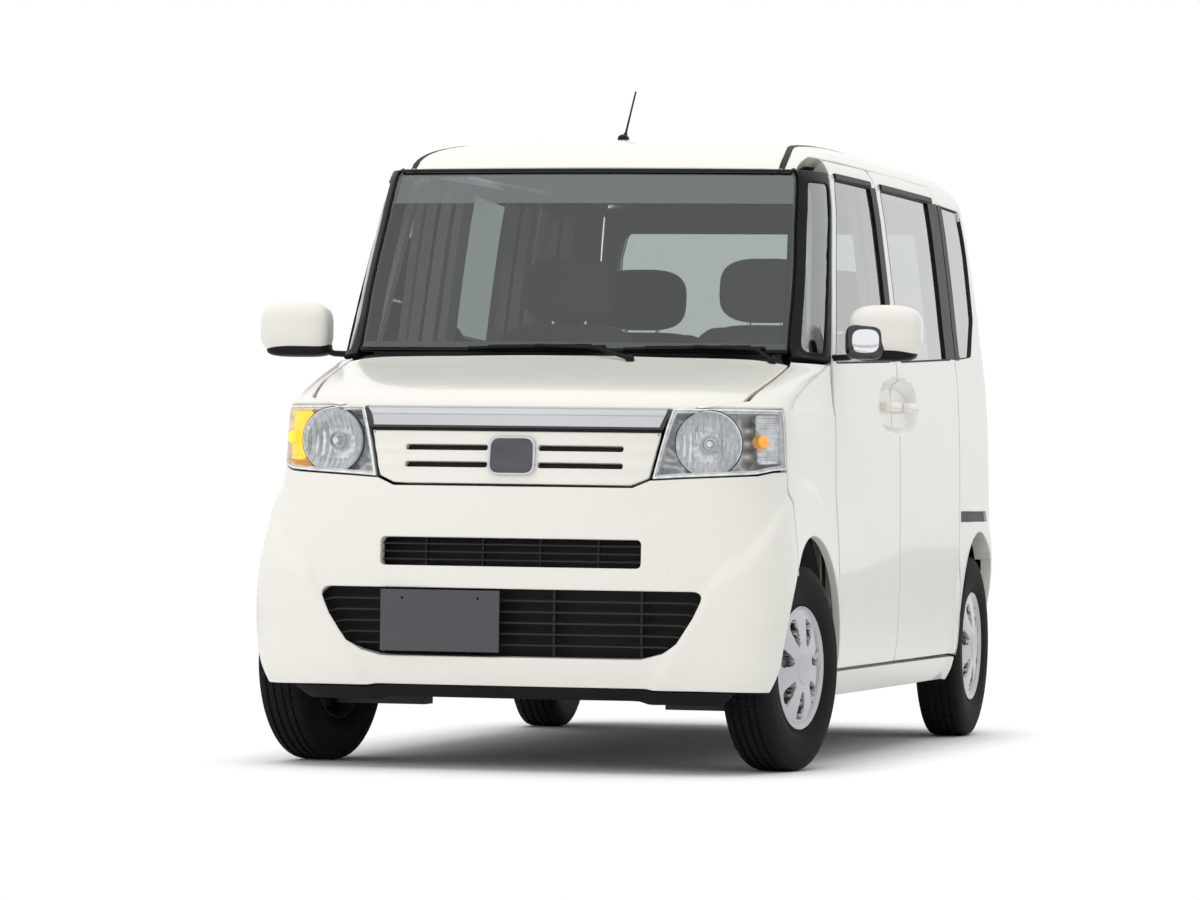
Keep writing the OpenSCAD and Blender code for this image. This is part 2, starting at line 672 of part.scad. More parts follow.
module front_subframe() color([0.12, 0.12, 0.12])
    difference() {
        union() {
            translate([1100, -390, 190]) cube([90, 780, 50]);
            for (y = [-260, 200]) translate([1110, y, 230]) cube([60, 60, 30 - seat_gap]);
            both_sides() {
                translate([840, 330, 200]) cube([600, 60, 44]);
                translate([840, 330, 240]) cube([46, 60, floor_z - 240]);
                translate([front_axle_x - 40, 350, 160]) cube([80, kingpin_y - 350, 24]);
                translate([front_axle_x - 40, 340, 160]) cube([80, 40, 60]);
                translate([front_axle_x, kingpin_y, 160]) cylinder(h = 24, r = 26);
            }
        }
        both_sides() translate([front_axle_x, kingpin_y, 100]) cylinder(h = 100, r = 10.05);
    }
module rear_axle() color([0.12, 0.12, 0.12]) {
    translate([-1120, -520, 250]) cube([70, 1040, 34]);
    both_sides() {
        translate([rear_axle_x - 50, 486, 250]) cube([400, 34, floor_z - 250]);
        translate([rear_axle_x - 50, 486, 250]) cube([100, 34, 70]);
        translate([rear_axle_x, 500, tyre_r]) rotate([-90, 0, 0]) cylinder(h = wheel_y + 17 - 500, r = 22);
        translate([rear_axle_x, 548, tyre_r]) rotate([-90, 0, 0]) cylinder(h = 36, r = 100);
    }
}

// ---- Wheels, drawn about their own axle with the outer face towards +Y
module tyre() rotate([90, 0, 0]) rotate_extrude($fn = 96) tyre_section();
module tyre_section() polygon([
    [rim_d / 2 + 1, -tyre_w * 0.36], [rim_d / 2 + 1, -tyre_w * 0.40], [rim_d / 2 + 30, -tyre_w * 0.47],
    [rim_d / 2 + 62, -tyre_w / 2], [tyre_r - 26, -tyre_w * 0.46], [tyre_r - 8, -tyre_w * 0.39], [tyre_r, -tyre_w * 0.28],
    [tyre_r, tyre_w * 0.28], [tyre_r - 8, tyre_w * 0.39], [tyre_r - 26, tyre_w * 0.46], [rim_d / 2 + 62, tyre_w / 2],
    [rim_d / 2 + 30, tyre_w * 0.47], [rim_d / 2 + 1, tyre_w * 0.40], [rim_d / 2 + 1, tyre_w * 0.36]]);
hub_bore_r = 22.05;
module wheel() {
    difference() {
        union() {
            rotate([90, 0, 0]) rotate_extrude($fn = 72) polygon([[rim_d / 2 - 8, -52], [rim_d / 2 + 0.5, -52], [rim_d / 2 + 0.5, 52],
                [rim_d / 2 - 8, 52]]);
            rotate([90, 0, 0]) translate([0, 0, -44]) cylinder(h = 14, r = rim_d / 2 - 4);
        }
        for (a = [0 : 45 : 315]) rotate([0, a, 0]) translate([112, 60, 0]) rotate([90, 0, 0]) cylinder(h = 80, r = a % 90 == 0 ? 26 : 17);
    }
    rotate([90, 0, 0]) translate([0, 0, -32]) difference() {
        cylinder(h = 38, r = 60);
        translate([0, 0, 14]) cylinder(h = 60, r = hub_bore_r);
    }
}
module at_rear(side) translate([rear_axle_x, side * wheel_y, tyre_r]) scale([1, 1, 1]) mirror([0, side < 0 ? 1 : 0, 0]) children();
module at_front(side) translate([front_axle_x, side * kingpin_y, tyre_r]) rotate([0, 0, -steer_rest])
    mirror([0, side < 0 ? 1 : 0, 0]) translate([0, wheel_y - kingpin_y, 0]) children();
module tyre_front_left() color([0.07, 0.07, 0.07]) at_front(1) tyre();
module tyre_front_right() color([0.07, 0.07, 0.07]) at_front(-1) tyre();
module tyre_rear_left() color([0.07, 0.07, 0.07]) at_rear(1) tyre();
module tyre_rear_right() color([0.07, 0.07, 0.07]) at_rear(-1) tyre();
module wheel_front_left() color([0.75, 0.76, 0.78]) at_front(1) wheel();
module wheel_front_right() color([0.75, 0.76, 0.78]) at_front(-1) wheel();
module wheel_rear_left() color([0.75, 0.76, 0.78]) at_rear(1) wheel();
module wheel_rear_right() color([0.75, 0.76, 0.78]) at_rear(-1) wheel();

// Steering knuckle with its stub axle, lower ball joint pin, brake disc and strut
module knuckle() {
    translate([-30, -116, -50]) cube([60, 66, 100]);
    translate([0, -60, 0]) rotate([-90, 0, 0]) cylinder(h = 77, r = 22);
    translate([0, kingpin_y - wheel_y, -118]) cylinder(h = 80, r = 10);
    translate([0, -114, 40]) cylinder(h = 304, r = 22);
    translate([0, -50, 0]) rotate([-90, 0, 0]) cylinder(h = 12, r = 85);
}
module knuckle_left() color([0.3, 0.3, 0.31]) at_front(1) knuckle();
module knuckle_right() color([0.3, 0.3, 0.31]) at_front(-1) knuckle();

// Wipers lying along the foot of the windshield
wiper_spans = [[-280, 115], [165, 556]];
function wiper_at(y, z) = [1127 - 50 * pow(y / 530, 2), y, z];
module wipers() color([0.04, 0.04, 0.04]) panel() difference() {
    for (w = wiper_spans) {
        for (k = [0 : 3]) hull() for (e = [0, 1])
            translate(wiper_at(w[0] + (w[1] - w[0]) * (k + e) / 4, 1140 + 2 * (k + e))) sphere(r = 5, $fn = 8);
        translate(wiper_at(w[1], 1100)) cylinder(h = 48, r = 5, $fn = 12);
    }
    form(6 - seat_gap);
    form_glass_zone();
}
module form_glass_zone() intersection() {
    form(1 - seat_gap);
    translate([0, -far, 1137]) cube([far, 2 * far, 400]);
}
module antenna() color([0.05, 0.05, 0.05]) panel() difference() {
    translate([300, -40, 1750]) rotate([0, -42, 0]) {
        cylinder(h = 34, r = 14, $fn = 16);
        cylinder(h = 230, r = 4, $fn = 16);
    }
    form(-seat_gap);
}

floor_pan();
body_sides();
roof_panel();
front_bulkhead();
inner_wings();
front_fenders();
hood();
front_bumper();
radiator_grille();
chrome_bar();
headlamps();
intake_grille();
front_skirt();
front_plate();
windshield();
front_door_left();
front_door_right();
front_door_glass_left();
front_door_glass_right();
mirror_left();
mirror_right();
sliding_doors();
sliding_door_glass();
side_glass();
door_handles();
front_handle_left();
front_handle_right();
tailgate();
tailgate_glass();
rear_bumper();
tail_lamps();
dashboard();
steering_wheel();
front_seats();
rear_seat();
engine();
drive_shafts();
fuel_tank();
exhaust();
front_subframe();
rear_axle();
knuckle_left();
knuckle_right();
tyre_front_left();
tyre_front_right();
tyre_rear_left();
tyre_rear_right();
wheel_front_left();
wheel_front_right();
wheel_rear_left();
wheel_rear_right();
wipers();
antenna();
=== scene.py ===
"""Tall kei car: painted panels, glass, lamps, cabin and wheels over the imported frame."""
import math
import bmesh
import bpy
import numpy as np
from mathutils import Matrix, Vector
from mathutils.geometry import delaunay_2d_cdt


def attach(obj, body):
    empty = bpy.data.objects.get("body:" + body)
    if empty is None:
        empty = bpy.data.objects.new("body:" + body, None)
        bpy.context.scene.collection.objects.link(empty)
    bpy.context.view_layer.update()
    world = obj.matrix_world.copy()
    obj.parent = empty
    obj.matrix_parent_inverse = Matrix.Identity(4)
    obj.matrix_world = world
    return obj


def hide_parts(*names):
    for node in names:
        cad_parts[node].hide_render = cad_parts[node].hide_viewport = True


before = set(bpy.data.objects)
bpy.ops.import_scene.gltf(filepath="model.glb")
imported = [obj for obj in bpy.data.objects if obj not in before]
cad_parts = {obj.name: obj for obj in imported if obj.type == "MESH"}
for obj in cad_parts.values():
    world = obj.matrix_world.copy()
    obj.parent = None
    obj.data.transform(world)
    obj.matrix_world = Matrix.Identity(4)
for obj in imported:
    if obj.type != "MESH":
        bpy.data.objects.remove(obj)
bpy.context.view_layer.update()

SIDES = {"left": 1, "right": -1}

# ---------------------------------------------------------------- the body's form
# Plan outline at each height, in mm. Columns: height, nose x, flat nose half-width, nose bow, corner x,
# corner y, side start x, side start y, half-width amidships, tail x.
FORM = np.array([
    [180, 1640, 480, 25, 1600, 640, 1480, 660, 690, -1640],
    [225, 1675, 520, 25, 1650, 700, 1500, 706, 712, -1672],
    [300, 1692, 525, 28, 1668, 730, 1500, 733, 728, -1690],
    [410, 1697.5, 530, 28, 1672, 738, 1505, 737.5, 735, -1697.5],
    [520, 1697, 530, 28, 1662, 734, 1500, 736, 737.5, -1697.5],
    [600, 1694, 520, 28, 1650, 720, 1480, 730, 737.5, -1694],
    [700, 1688, 500, 30, 1625, 702, 1440, 716, 737, -1680],
    [790, 1680, 470, 32, 1605, 692, 1400, 708, 736, -1674],
    [900, 1665, 440, 34, 1590, 690, 1380, 708, 734, -1668],
    [975, 1650, 425, 32, 1580, 685, 1370, 706, 731, -1665],
    [1000, 1625, 420, 32, 1545, 672, 1330, 700, 730, -1664],
    [1030, 1560, 420, 35, 1470, 668, 1240, 700, 728, -1662],
    [1060, 1440, 430, 38, 1360, 665, 1130, 702, 726, -1660],
    [1090, 1300, 440, 42, 1225, 664, 1000, 704, 724, -1658],
    [1115, 1190, 470, 46, 1115, 660, 900, 704, 722, -1656],
    [1135, 1120, 540, 50, 1075, 650, 880, 702, 720, -1654],
    [1250, 1066, 530, 50, 1018, 640, 830, 690, 706, -1645],
    [1400, 996, 515, 48, 945, 630, 770, 672, 688, -1628],
    [1550, 905, 505, 42, 868, 620, 700, 655, 667, -1604],
    [1655, 835, 500, 35, 825, 612, 640, 632, 648, -1584],
    [1688, 800, 470, 40, 770, 590, 560, 612, 631, -1572],
    [1720, 735, 420, 60, 680, 560, 430, 585, 605, -1546],
    [1746, 620, 350, 80, 520, 515, 240, 545, 565, -1490],
    [1765, 430, 260, 100, 300, 450, 60, 485, 500, -1380],
    [1776, 130, 180, 100, -20, 340, -150, 370, 380, -1150],
    [1780, -150, 120, 60, -200, 230, -250, 240, 245, -900]]) / 1000
LEVELS_PER_ROW = 22
AMIDSHIPS_X = -0.300
FRONT_AXLE = (1.2475, 0.300)
REAR_AXLE = (-1.2725, 0.300)
ARCH_R = 0.335
GAP = 0.0022


def monotone(xs, ys, x):
    """Smooth curve through (xs, ys) that doesn't overshoot."""
    h = np.diff(xs)
    d = np.diff(ys) / h
    m = np.zeros_like(ys)
    m[0], m[-1] = d[0], d[-1]
    both = d[:-1] * d[1:] > 0
    w1 = 2 * h[1:] + h[:-1]
    w2 = h[1:] + 2 * h[:-1]
    inner = np.zeros(len(ys) - 2)
    inner[both] = (w1 + w2)[both] / (w1[both] / d[:-1][both] + w2[both] / d[1:][both])
    m[1:-1] = inner
    i = np.clip(np.searchsorted(xs, x, side="right") - 1, 0, len(h) - 1)
    t = (x - xs[i]) / h[i]
    return ((1 + 2 * t) * (1 - t) ** 2 * ys[i] + t * (1 - t) ** 2 * h[i] * m[i]
            + t * t * (3 - 2 * t) * ys[i + 1] + t * t * (t - 1) * h[i] * m[i + 1])


def blur(a, sigma, axis):
    r = int(3 * sigma)
    k = np.exp(-0.5 * (np.arange(-r, r + 1) / sigma) ** 2)
    k /= k.sum()
    pad = [(0, 0)] * a.ndim
    pad[axis] = (r, r)
    b = np.pad(a, pad, mode="reflect", reflect_type="odd")
    n = a.shape[axis]
    return sum(w * np.take(b, range(i, i + n), axis=axis) for i, w in enumerate(k))


def bezier(a, b, c, t):
    return (1 - t) ** 2 * a + 2 * t * (1 - t) * b + t * t * c


def half_outline(row):
    """Left half of one plan outline, nose to tail, as (x, y) rows."""
    nose, flat_y, bow, cx, cy, sx, sy, mid, tail = row
    k = np.linspace(0, 1, 26)[:-1]
    parts = [np.c_[nose - bow * k * k, flat_y * k]]
    t = np.linspace(0, 1, 101)[:-1]
    parts.append(np.c_[bezier(nose - bow, cx, sx, t), bezier(flat_y, cy, sy, t)])
    k = np.linspace(0, 1, 181)[:-1]
    parts.append(np.c_[sx + (AMIDSHIPS_X - sx) * k, sy + (mid - sy) * (1 - (1 - k) ** 2)])
    k = np.linspace(0, 1, 111)[:-1]
    parts.append(np.c_[AMIDSHIPS_X + (tail + 0.23 - AMIDSHIPS_X) * k, mid - 0.008 * k * k])
    t = np.linspace(0, 1, 61)[:-1]
    parts.append(np.c_[bezier(tail + 0.23, tail + 0.018, tail + 0.014, t),
                       bezier(mid - 0.008, mid - 0.014, mid - 0.19, t)])
    k = np.linspace(0, 1, 31)
    parts.append(np.c_[tail + 0.014 * (1 - k), (mid - 0.19) * (1 - k)])
    return np.vstack(parts)


def smooth_step(t):
    t = np.clip(t, 0, 1)
    return t * t * (3 - 2 * t)


def flare(p):
    """How far the wheel-arch blisters and the handle dishes move the surface outwards."""
    x, y, z = p[..., 0], np.abs(p[..., 1]), p[..., 2]
    out = np.zeros_like(x)
    # blister from the bumper's corner over the front wheel
    reach = np.hypot((x - 1.262) / np.where(x > 1.262, 0.46, 0.365), (z - 0.30) / 0.475)
    side = smooth_step((y - np.minimum(0.465 + 0.583 * (z - 0.36), 0.63)) / 0.026 + 0.5)
    out += 0.013 * (1 - smooth_step((reach - 0.975) / 0.07)) * side * (x > 0.6)
    # low flare over the rear wheel
    reach = np.hypot((x + 1.2725) / 0.40, (z - 0.30) / 0.41)
    out += 0.006 * (1 - smooth_step((reach - 0.93) / 0.12)) * (y > 0.5) * (x < -0.6)
    # dish behind the pull handles, over both doors
    dish = (np.abs((x - 0.020) / 0.275) ** 3.0 + np.abs((z - 1.008) / 0.080) ** 3.0)
    out -= 0.024 * (1 - smooth_step((dish - 0.25) / 0.75)) * (y > 0.6)
    return out


def with_normals(g):
    du = np.gradient(g, axis=1)
    dz = np.gradient(g, axis=0)
    n = np.cross(du, dz)
    n /= np.linalg.norm(n, axis=2, keepdims=True) + 1e-12
    flip = np.sign((n[..., :2] * (g[..., :2] - [AMIDSHIPS_X, 0])).sum(axis=2) + 1e-9)
    return n * flip[..., None]


def mirrored(p):
    return p * np.array([1, -1, 1])


def body_grid():
    rows = len(FORM)
    zi = np.linspace(0, rows - 1, (rows - 1) * LEVELS_PER_ROW + 1)
    z = np.interp(zi, range(rows), FORM[:, 0])
    cols = np.array([monotone(FORM[:, 0], FORM[:, c], z) for c in range(1, FORM.shape[1])]).T
    half = np.array([np.c_[half_outline(r), np.full(len(half_outline(cols[0])), zz)] for r, zz in zip(cols, z)])
    full = np.concatenate([mirrored(half)[:, :0:-1], half], axis=1)
    full = blur(blur(full, 4, 1), 6, 0)
    full[..., 2] = z[:, None]
    plain = full.copy()
    n = with_normals(full)
    full = full + n * flare(full)[..., None]
    k = full.shape[1] // 2
    ref = plain[int(np.searchsorted(z, 0.6)), k:]
    u = np.r_[0, np.cumsum(np.linalg.norm(np.diff(ref[:, :2], axis=0), axis=1))]
    return z, u, full[:, k:], plain[:, k:]


class Wall:
    """The body's upright skin, unrolled: u is the distance round it from the nose or the tail, z the height."""

    def __init__(self, z, u, half, sign):
        self.z, self.sign = z, sign
        self.u = np.r_[-u[:0:-1], u]
        self.g = np.concatenate([mirrored(half)[:, :0:-1], half], axis=1)
        self.n = with_normals(self.g)

    def sample(self, table, u, z):
        i = np.interp(z, self.z, np.arange(len(self.z)))
        j = np.interp(u, self.u, np.arange(len(self.u)))
        i0 = np.clip(i.astype(int), 0, len(self.z) - 2)
        j0 = np.clip(j.astype(int), 0, len(self.u) - 2)
        a, b = (i - i0)[:, None], (j - j0)[:, None]
        return ((1 - a) * ((1 - b) * table[i0, j0] + b * table[i0, j0 + 1])
                + a * ((1 - b) * table[i0 + 1, j0] + b * table[i0 + 1, j0 + 1]))

    def at(self, uv, depth):
        uv = np.atleast_2d(uv)
        n = self.sample(self.n, uv[:, 0], uv[:, 1])
        n /= np.linalg.norm(n, axis=1, keepdims=True)
        return self.sample(self.g, uv[:, 0], uv[:, 1]) - n * np.reshape(depth, (-1, 1)), n

    def row(self, z):
        i = float(np.interp(z, self.z, np.arange(len(self.z))))
        k = min(int(i), len(self.z) - 2)
        return (1 - i + k) * self.g[k] + (i - k) * self.g[k + 1]

    def x(self, x, z):
        """Place on the left side of the skin, from a side view."""
        r = self.row(z)
        h = self.u >= 0
        return (float(np.interp(-self.sign * x, -self.sign * r[h, 0], self.u[h])), z)

    def y(self, y, z):
        """Place on the nose or the tail, from an end view."""
        r = self.row(z)
        h = self.u >= 0
        ys = r[h, 1]
        k = int(np.argmax(ys)) if self.sign > 0 else int(np.argmax(ys > ys.max() - 0.004))
        return (math.copysign(float(np.interp(abs(y), ys[:k + 1], self.u[h][:k + 1])), y), z)


class Top:
    """A height over the plan, for the hood and the roof: coordinates are (x, y)."""

    def __init__(self, x0, x1, half_y, step, height):
        self.x = np.arange(x0, x1, step)
        self.y = np.arange(-half_y, half_y + step / 2, step)
        h = np.array([height(self.x, abs(y)) for y in self.y]).T
        self.h = blur(blur(h, 2.5, 0), 2.5, 1)
        gx, gy = np.gradient(self.h, step)
        n = np.dstack([-gx, -gy, np.ones_like(gx)])
        self.n = n / np.linalg.norm(n, axis=2, keepdims=True)

    def sample(self, table, x, y):
        i = np.clip((x - self.x[0]) / (self.x[1] - self.x[0]), 0, len(self.x) - 1.001)
        j = np.clip((y - self.y[0]) / (self.y[1] - self.y[0]), 0, len(self.y) - 1.001)
        i0, j0 = i.astype(int), j.astype(int)
        a, b = i - i0, j - j0
        if table.ndim == 3:
            a, b = a[:, None], b[:, None]
        return ((1 - a) * ((1 - b) * table[i0, j0] + b * table[i0, j0 + 1])
                + a * ((1 - b) * table[i0 + 1, j0] + b * table[i0 + 1, j0 + 1]))

    def at(self, uv, depth):
        uv = np.atleast_2d(uv)
        n = self.sample(self.n, uv[:, 0], uv[:, 1])
        n /= np.linalg.norm(n, axis=1, keepdims=True)
        p = np.c_[uv, self.sample(self.h, uv[:, 0], uv[:, 1])]
        return p - n * np.reshape(depth, (-1, 1)), n


Z, U, HALF, PLAIN = body_grid()
LENGTH = U[-1]
nose = Wall(Z, U, HALF, 1)
tail = Wall(Z, LENGTH - U[::-1], HALF[:, ::-1], -1)


def hood_height(xs, y):
    pts = []
    for k in range(0, len(Z), 2):
        if 0.90 < Z[k] < 1.20:
            ys, row = PLAIN[k, :, 1], PLAIN[k]
            m = int(np.argmax(ys))
            if ys[m] > y:
                pts.append((np.interp(y, ys[:m + 1], row[:m + 1, 0]), Z[k]))
    pts = np.array(pts)[::-1]
    return np.interp(xs, pts[:, 0], pts[:, 1])


def roof_height(xs, y):
    pts = []
    for k in range(0, len(Z), 2):
        if Z[k] > 1.50:
            row = PLAIN[k]
            m = int(np.argmax(row[:, 1]))
            if row[m, 1] > y:
                pts.append((np.interp(y, row[:m + 1, 1], row[:m + 1, 0]), Z[k]))
                pts.append((np.interp(-y, -row[m:, 1], row[m:, 0]), Z[k]))
    pts = np.array(sorted(pts)) if pts else np.array([(0, 1.5), (1, 1.5)])
    return np.interp(xs, pts[:, 0], pts[:, 1])


hood_top = Top(1.00, 1.70, 0.68, 0.008, hood_height)
roof_top = Top(-1.66, 0.95, 0.66, 0.010, roof_height)


def over_hood(x, y):
    """Place on the nose skin of a point given in plan."""
    z = float(hood_top.sample(hood_top.h, np.array([x]), np.array([y]))[0])
    return nose.x(x, z)


# ---------------------------------------------------------------- outlines
def rounded(points, radii):
    """Closed outline with its corners rounded. radii is one radius, or one for each corner."""
    out = []
    n = len(points)
    radii = [radii] * n if np.isscalar(radii) else radii
    for i in range(n):
        a, b, c = (np.array(points[(i + k) % n], float) for k in (-1, 0, 1))
        r = radii[i]
        u, v = a - b, c - b
        lu, lv = np.linalg.norm(u), np.linalg.norm(v)
        u, v = u / lu, v / lv
        half = math.acos(max(-1, min(1, float(u @ v)))) / 2
        if r <= 0 or half > 1.5:
            out.append(b)
            continue
        cut = min(r / math.tan(half), 0.45 * lu, 0.45 * lv)
        p, q = b + u * cut, b + v * cut
        out.extend(bezier(p, b, q, t) for t in np.linspace(0, 1, 7))
    return [tuple(p) for p in out]


def dense(points, step):
    """Closed outline with points no further apart than step."""
    out = []
    for a, b in zip(points, points[1:] + points[:1]):
        a, b = np.array(a), np.array(b)
        n = max(1, math.ceil(np.linalg.norm(b - a) / step))
        out.extend(a + (b - a) * k / n for k in range(n))
    out = np.array(out)
    keep = np.linalg.norm(out - np.roll(out, 1, axis=0), axis=1) > step * 0.05
    return out[keep]


def ccw(p):
    area = np.sum(p[:, 0] * np.roll(p[:, 1], -1) - np.roll(p[:, 0], -1) * p[:, 1])
    return p if area > 0 else p[::-1]


def offset(p, d):
    """Outline moved by d to its left."""
    e = np.roll(p, -1, axis=0) - p
    e /= np.linalg.norm(e, axis=1, keepdims=True) + 1e-12
    n = np.c_[-e[:, 1], e[:, 0]]
    m = n + np.roll(n, 1, axis=0)
    m /= np.maximum((m * m).sum(axis=1, keepdims=True) / 2, 0.7)
    return p + m * d, m


def inside(poly, pts):
    x, y = pts[:, 0][:, None], pts[:, 1][:, None]
    a, b = poly, np.roll(poly, -1, axis=0)
    cross = (a[:, 1] > y) != (b[:, 1] > y)
    at = a[:, 0] + (y - a[:, 1]) * (b[:, 0] - a[:, 0]) / (b[:, 1] - a[:, 1] + 1e-15)
    return (cross & (x < at)).sum(axis=1) % 2 == 1


def near(poly, pts, d):
    a, b = poly, np.roll(poly, -1, axis=0)
    out = np.zeros(len(pts), bool)
    for k in range(0, len(pts), 2000):
        q = pts[k:k + 2000, None]
        ab = b - a
        t = np.clip(((q - a) * ab).sum(2) / ((ab * ab).sum(1) + 1e-15), 0, 1)
        out[k:k + 2000] = np.linalg.norm(q - a - t[..., None] * ab, axis=2).min(axis=1) < d
    return out


# ---------------------------------------------------------------- meshes
def new_mesh(name, verts, faces, normals=None, kinds=None):
    """Object whose faces all turn the way of the normals given."""
    verts = np.asarray(verts, float)
    if normals is not None:
        normals = np.asarray(normals, float)
        turned = []
        for f in faces:
            a, b, c = verts[f[0]], verts[f[1]], verts[f[-1]]
            n = np.cross(b - a, c - a)
            turned.append(f if n @ normals[list(f)].sum(axis=0) >= 0 else tuple(reversed(f)))
        faces = turned
    mesh = bpy.data.meshes.new(name)
    mesh.from_pydata([tuple(v) for v in verts], [], [tuple(int(i) for i in f) for f in faces])
    mesh.shade_smooth()
    if kinds is not None:
        mesh.polygons.foreach_set("material_index", kinds)
    if normals is not None:
        mesh.normals_split_custom_set_from_vertices([tuple(n) for n in normals])
    mesh.update()
    ob = bpy.data.objects.new(name, mesh)
    bpy.context.scene.collection.objects.link(ob)
    return ob


def flipped(ob, name):
    """Mirror image across the car's middle plane, as a new object."""
    m = ob.data
    v = np.array([tuple(p.co) for p in m.vertices]) * [1, -1, 1]
    n = np.array([tuple(c.vector) for c in m.corner_normals])
    faces = [tuple(p.vertices) for p in m.polygons]
    kinds = [p.material_index for p in m.polygons]
    mesh = bpy.data.meshes.new(name)
    mesh.from_pydata([tuple(p) for p in v], [], [tuple(reversed(f)) for f in faces])
    mesh.shade_smooth()
    mesh.polygons.foreach_set("material_index", kinds)
    loops = []
    at = 0
    for f in faces:
        loops.extend(tuple(n[at + k] * [1, -1, 1]) for k in reversed(range(len(f))))
        at += len(f)
    mesh.normals_split_custom_set(loops)
    for mt in m.materials:
        mesh.materials.append(mt)
    out = bpy.data.objects.new(name, mesh)
    bpy.context.scene.collection.objects.link(out)
    return out


def finish_piece(ob, body, mats, nodes=()):
    for m in mats:
        ob.data.materials.append(m)
    place(ob, body, nodes)
    return ob


def place(ob, body, nodes=()):
    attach(ob, body)
    if nodes:
        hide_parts(*nodes)


def panel(name, surf, outline, holes=(), depth=0.0, edge=0.003, thick=0.02, step=0.03, gap=GAP, inner=False,
          relief=None):
    """Sheet cut from a surface, with rounded edges, a thickness and, if inner, a back."""
    ring = 0.012 if step > 0.012 else step
    loops = [offset(ccw(dense(list(outline), ring)), gap)[0]]
    loops += [offset(ccw(dense(list(h), ring)), -gap)[0][::-1] for h in holes]
    lips = [offset(p, edge) for p in loops]
    flat = [p for p, _ in lips]
    lo, hi = flat[0].min(axis=0), flat[0].max(axis=0)
    gx, gy = np.meshgrid(np.arange(lo[0] + step / 2, hi[0], step), np.arange(lo[1] + step / 2, hi[1], step * 0.87))
    gx[1::2] += step / 2
    grid = np.c_[gx.ravel(), gy.ravel()]
    grid = grid[inside(flat[0], grid)]
    for p in flat[1:]:
        grid = grid[~inside(p, grid)]
    for p in flat:
        grid = grid[~near(p, grid, step * 0.55)]
    pts = np.vstack(flat + [grid])
    edges = []
    start = 0
    for p in flat:
        edges += [(start + i, start + (i + 1) % len(p)) for i in range(len(p))]
        start += len(p)
    res = delaunay_2d_cdt([Vector(p) for p in pts], edges, [], 0, 1e-7, True)
    back = [o[0] if o else -1 for o in res[3]]
    tris = np.array([[back[i] for i in f] for f in res[2]])
    tris = tris[(tris >= 0).all(axis=1)]
    mid = pts[tris].mean(axis=1)
    keep = inside(flat[0], mid)
    for p in flat[1:]:
        keep &= ~inside(p, mid)
    tris = tris[keep]

    def lift(uv, d):
        extra = relief(uv) if relief is not None else 0.0
        return surf.at(uv, depth + d + extra)

    v0, n0 = lift(pts, 0.0)
    if relief is not None:
        e = 0.0015
        a = lift(pts + [e, 0], 0.0)[0] - lift(pts - [e, 0], 0.0)[0]
        b = lift(pts + [0, e], 0.0)[0] - lift(pts - [0, e], 0.0)[0]
        n1 = np.cross(a, b)
        n1 /= np.linalg.norm(n1, axis=1, keepdims=True) + 1e-12
        n0 = n1 * np.sign((n1 * n0).sum(axis=1, keepdims=True) + 1e-9)
    verts, norms, faces, kinds = [v0], [n0], [tuple(t) for t in tris], [0] * len(tris)
    count = len(pts)
    start = 0
    for p, (q, _) in zip(loops, lips):
        n = len(p)
        ring_out, nrm = lift(p, edge)
        mid_uv = p + (q - p) * 0.3
        ring_mid, nrm2 = lift(mid_uv, edge * 0.3)
        top = v0[start:start + n]
        away = ring_out - top
        away -= (away * nrm).sum(axis=1, keepdims=True) * nrm
        away /= np.linalg.norm(away, axis=1, keepdims=True) + 1e-12
        low, _ = lift(p, edge + thick)
        verts += [ring_mid, ring_out, ring_out, low]
        norms += [nrm2 * 0.75 + away * 0.66, nrm * 0.25 + away * 0.97, away, away]
        rows = [np.arange(start, start + n)] + [count + k * n + np.arange(n) for k in range(4)]
        for a, b in ((0, 1), (1, 2), (3, 4)):
            for i in range(n):
                j = (i + 1) % n
                faces.append((rows[a][i], rows[a][j], rows[b][j], rows[b][i]))
                kinds.append(0)
        count += 4 * n
        start += n
    if inner:
        vb, nb = lift(pts, edge + thick)
        back_uv = pts.copy()
        start = 0
        for p in loops:
            back_uv[start:start + len(p)] = p
            start += len(p)
        vb, nb = surf.at(back_uv, depth + edge + thick)
        verts.append(vb)
        norms.append(-nb)
        faces += [tuple(count + t) for t in tris]
        kinds += [1] * len(tris)
    norms = np.vstack(norms)
    norms /= np.linalg.norm(norms, axis=1, keepdims=True) + 1e-12
    return new_mesh(name, np.vstack(verts), faces, norms, kinds)


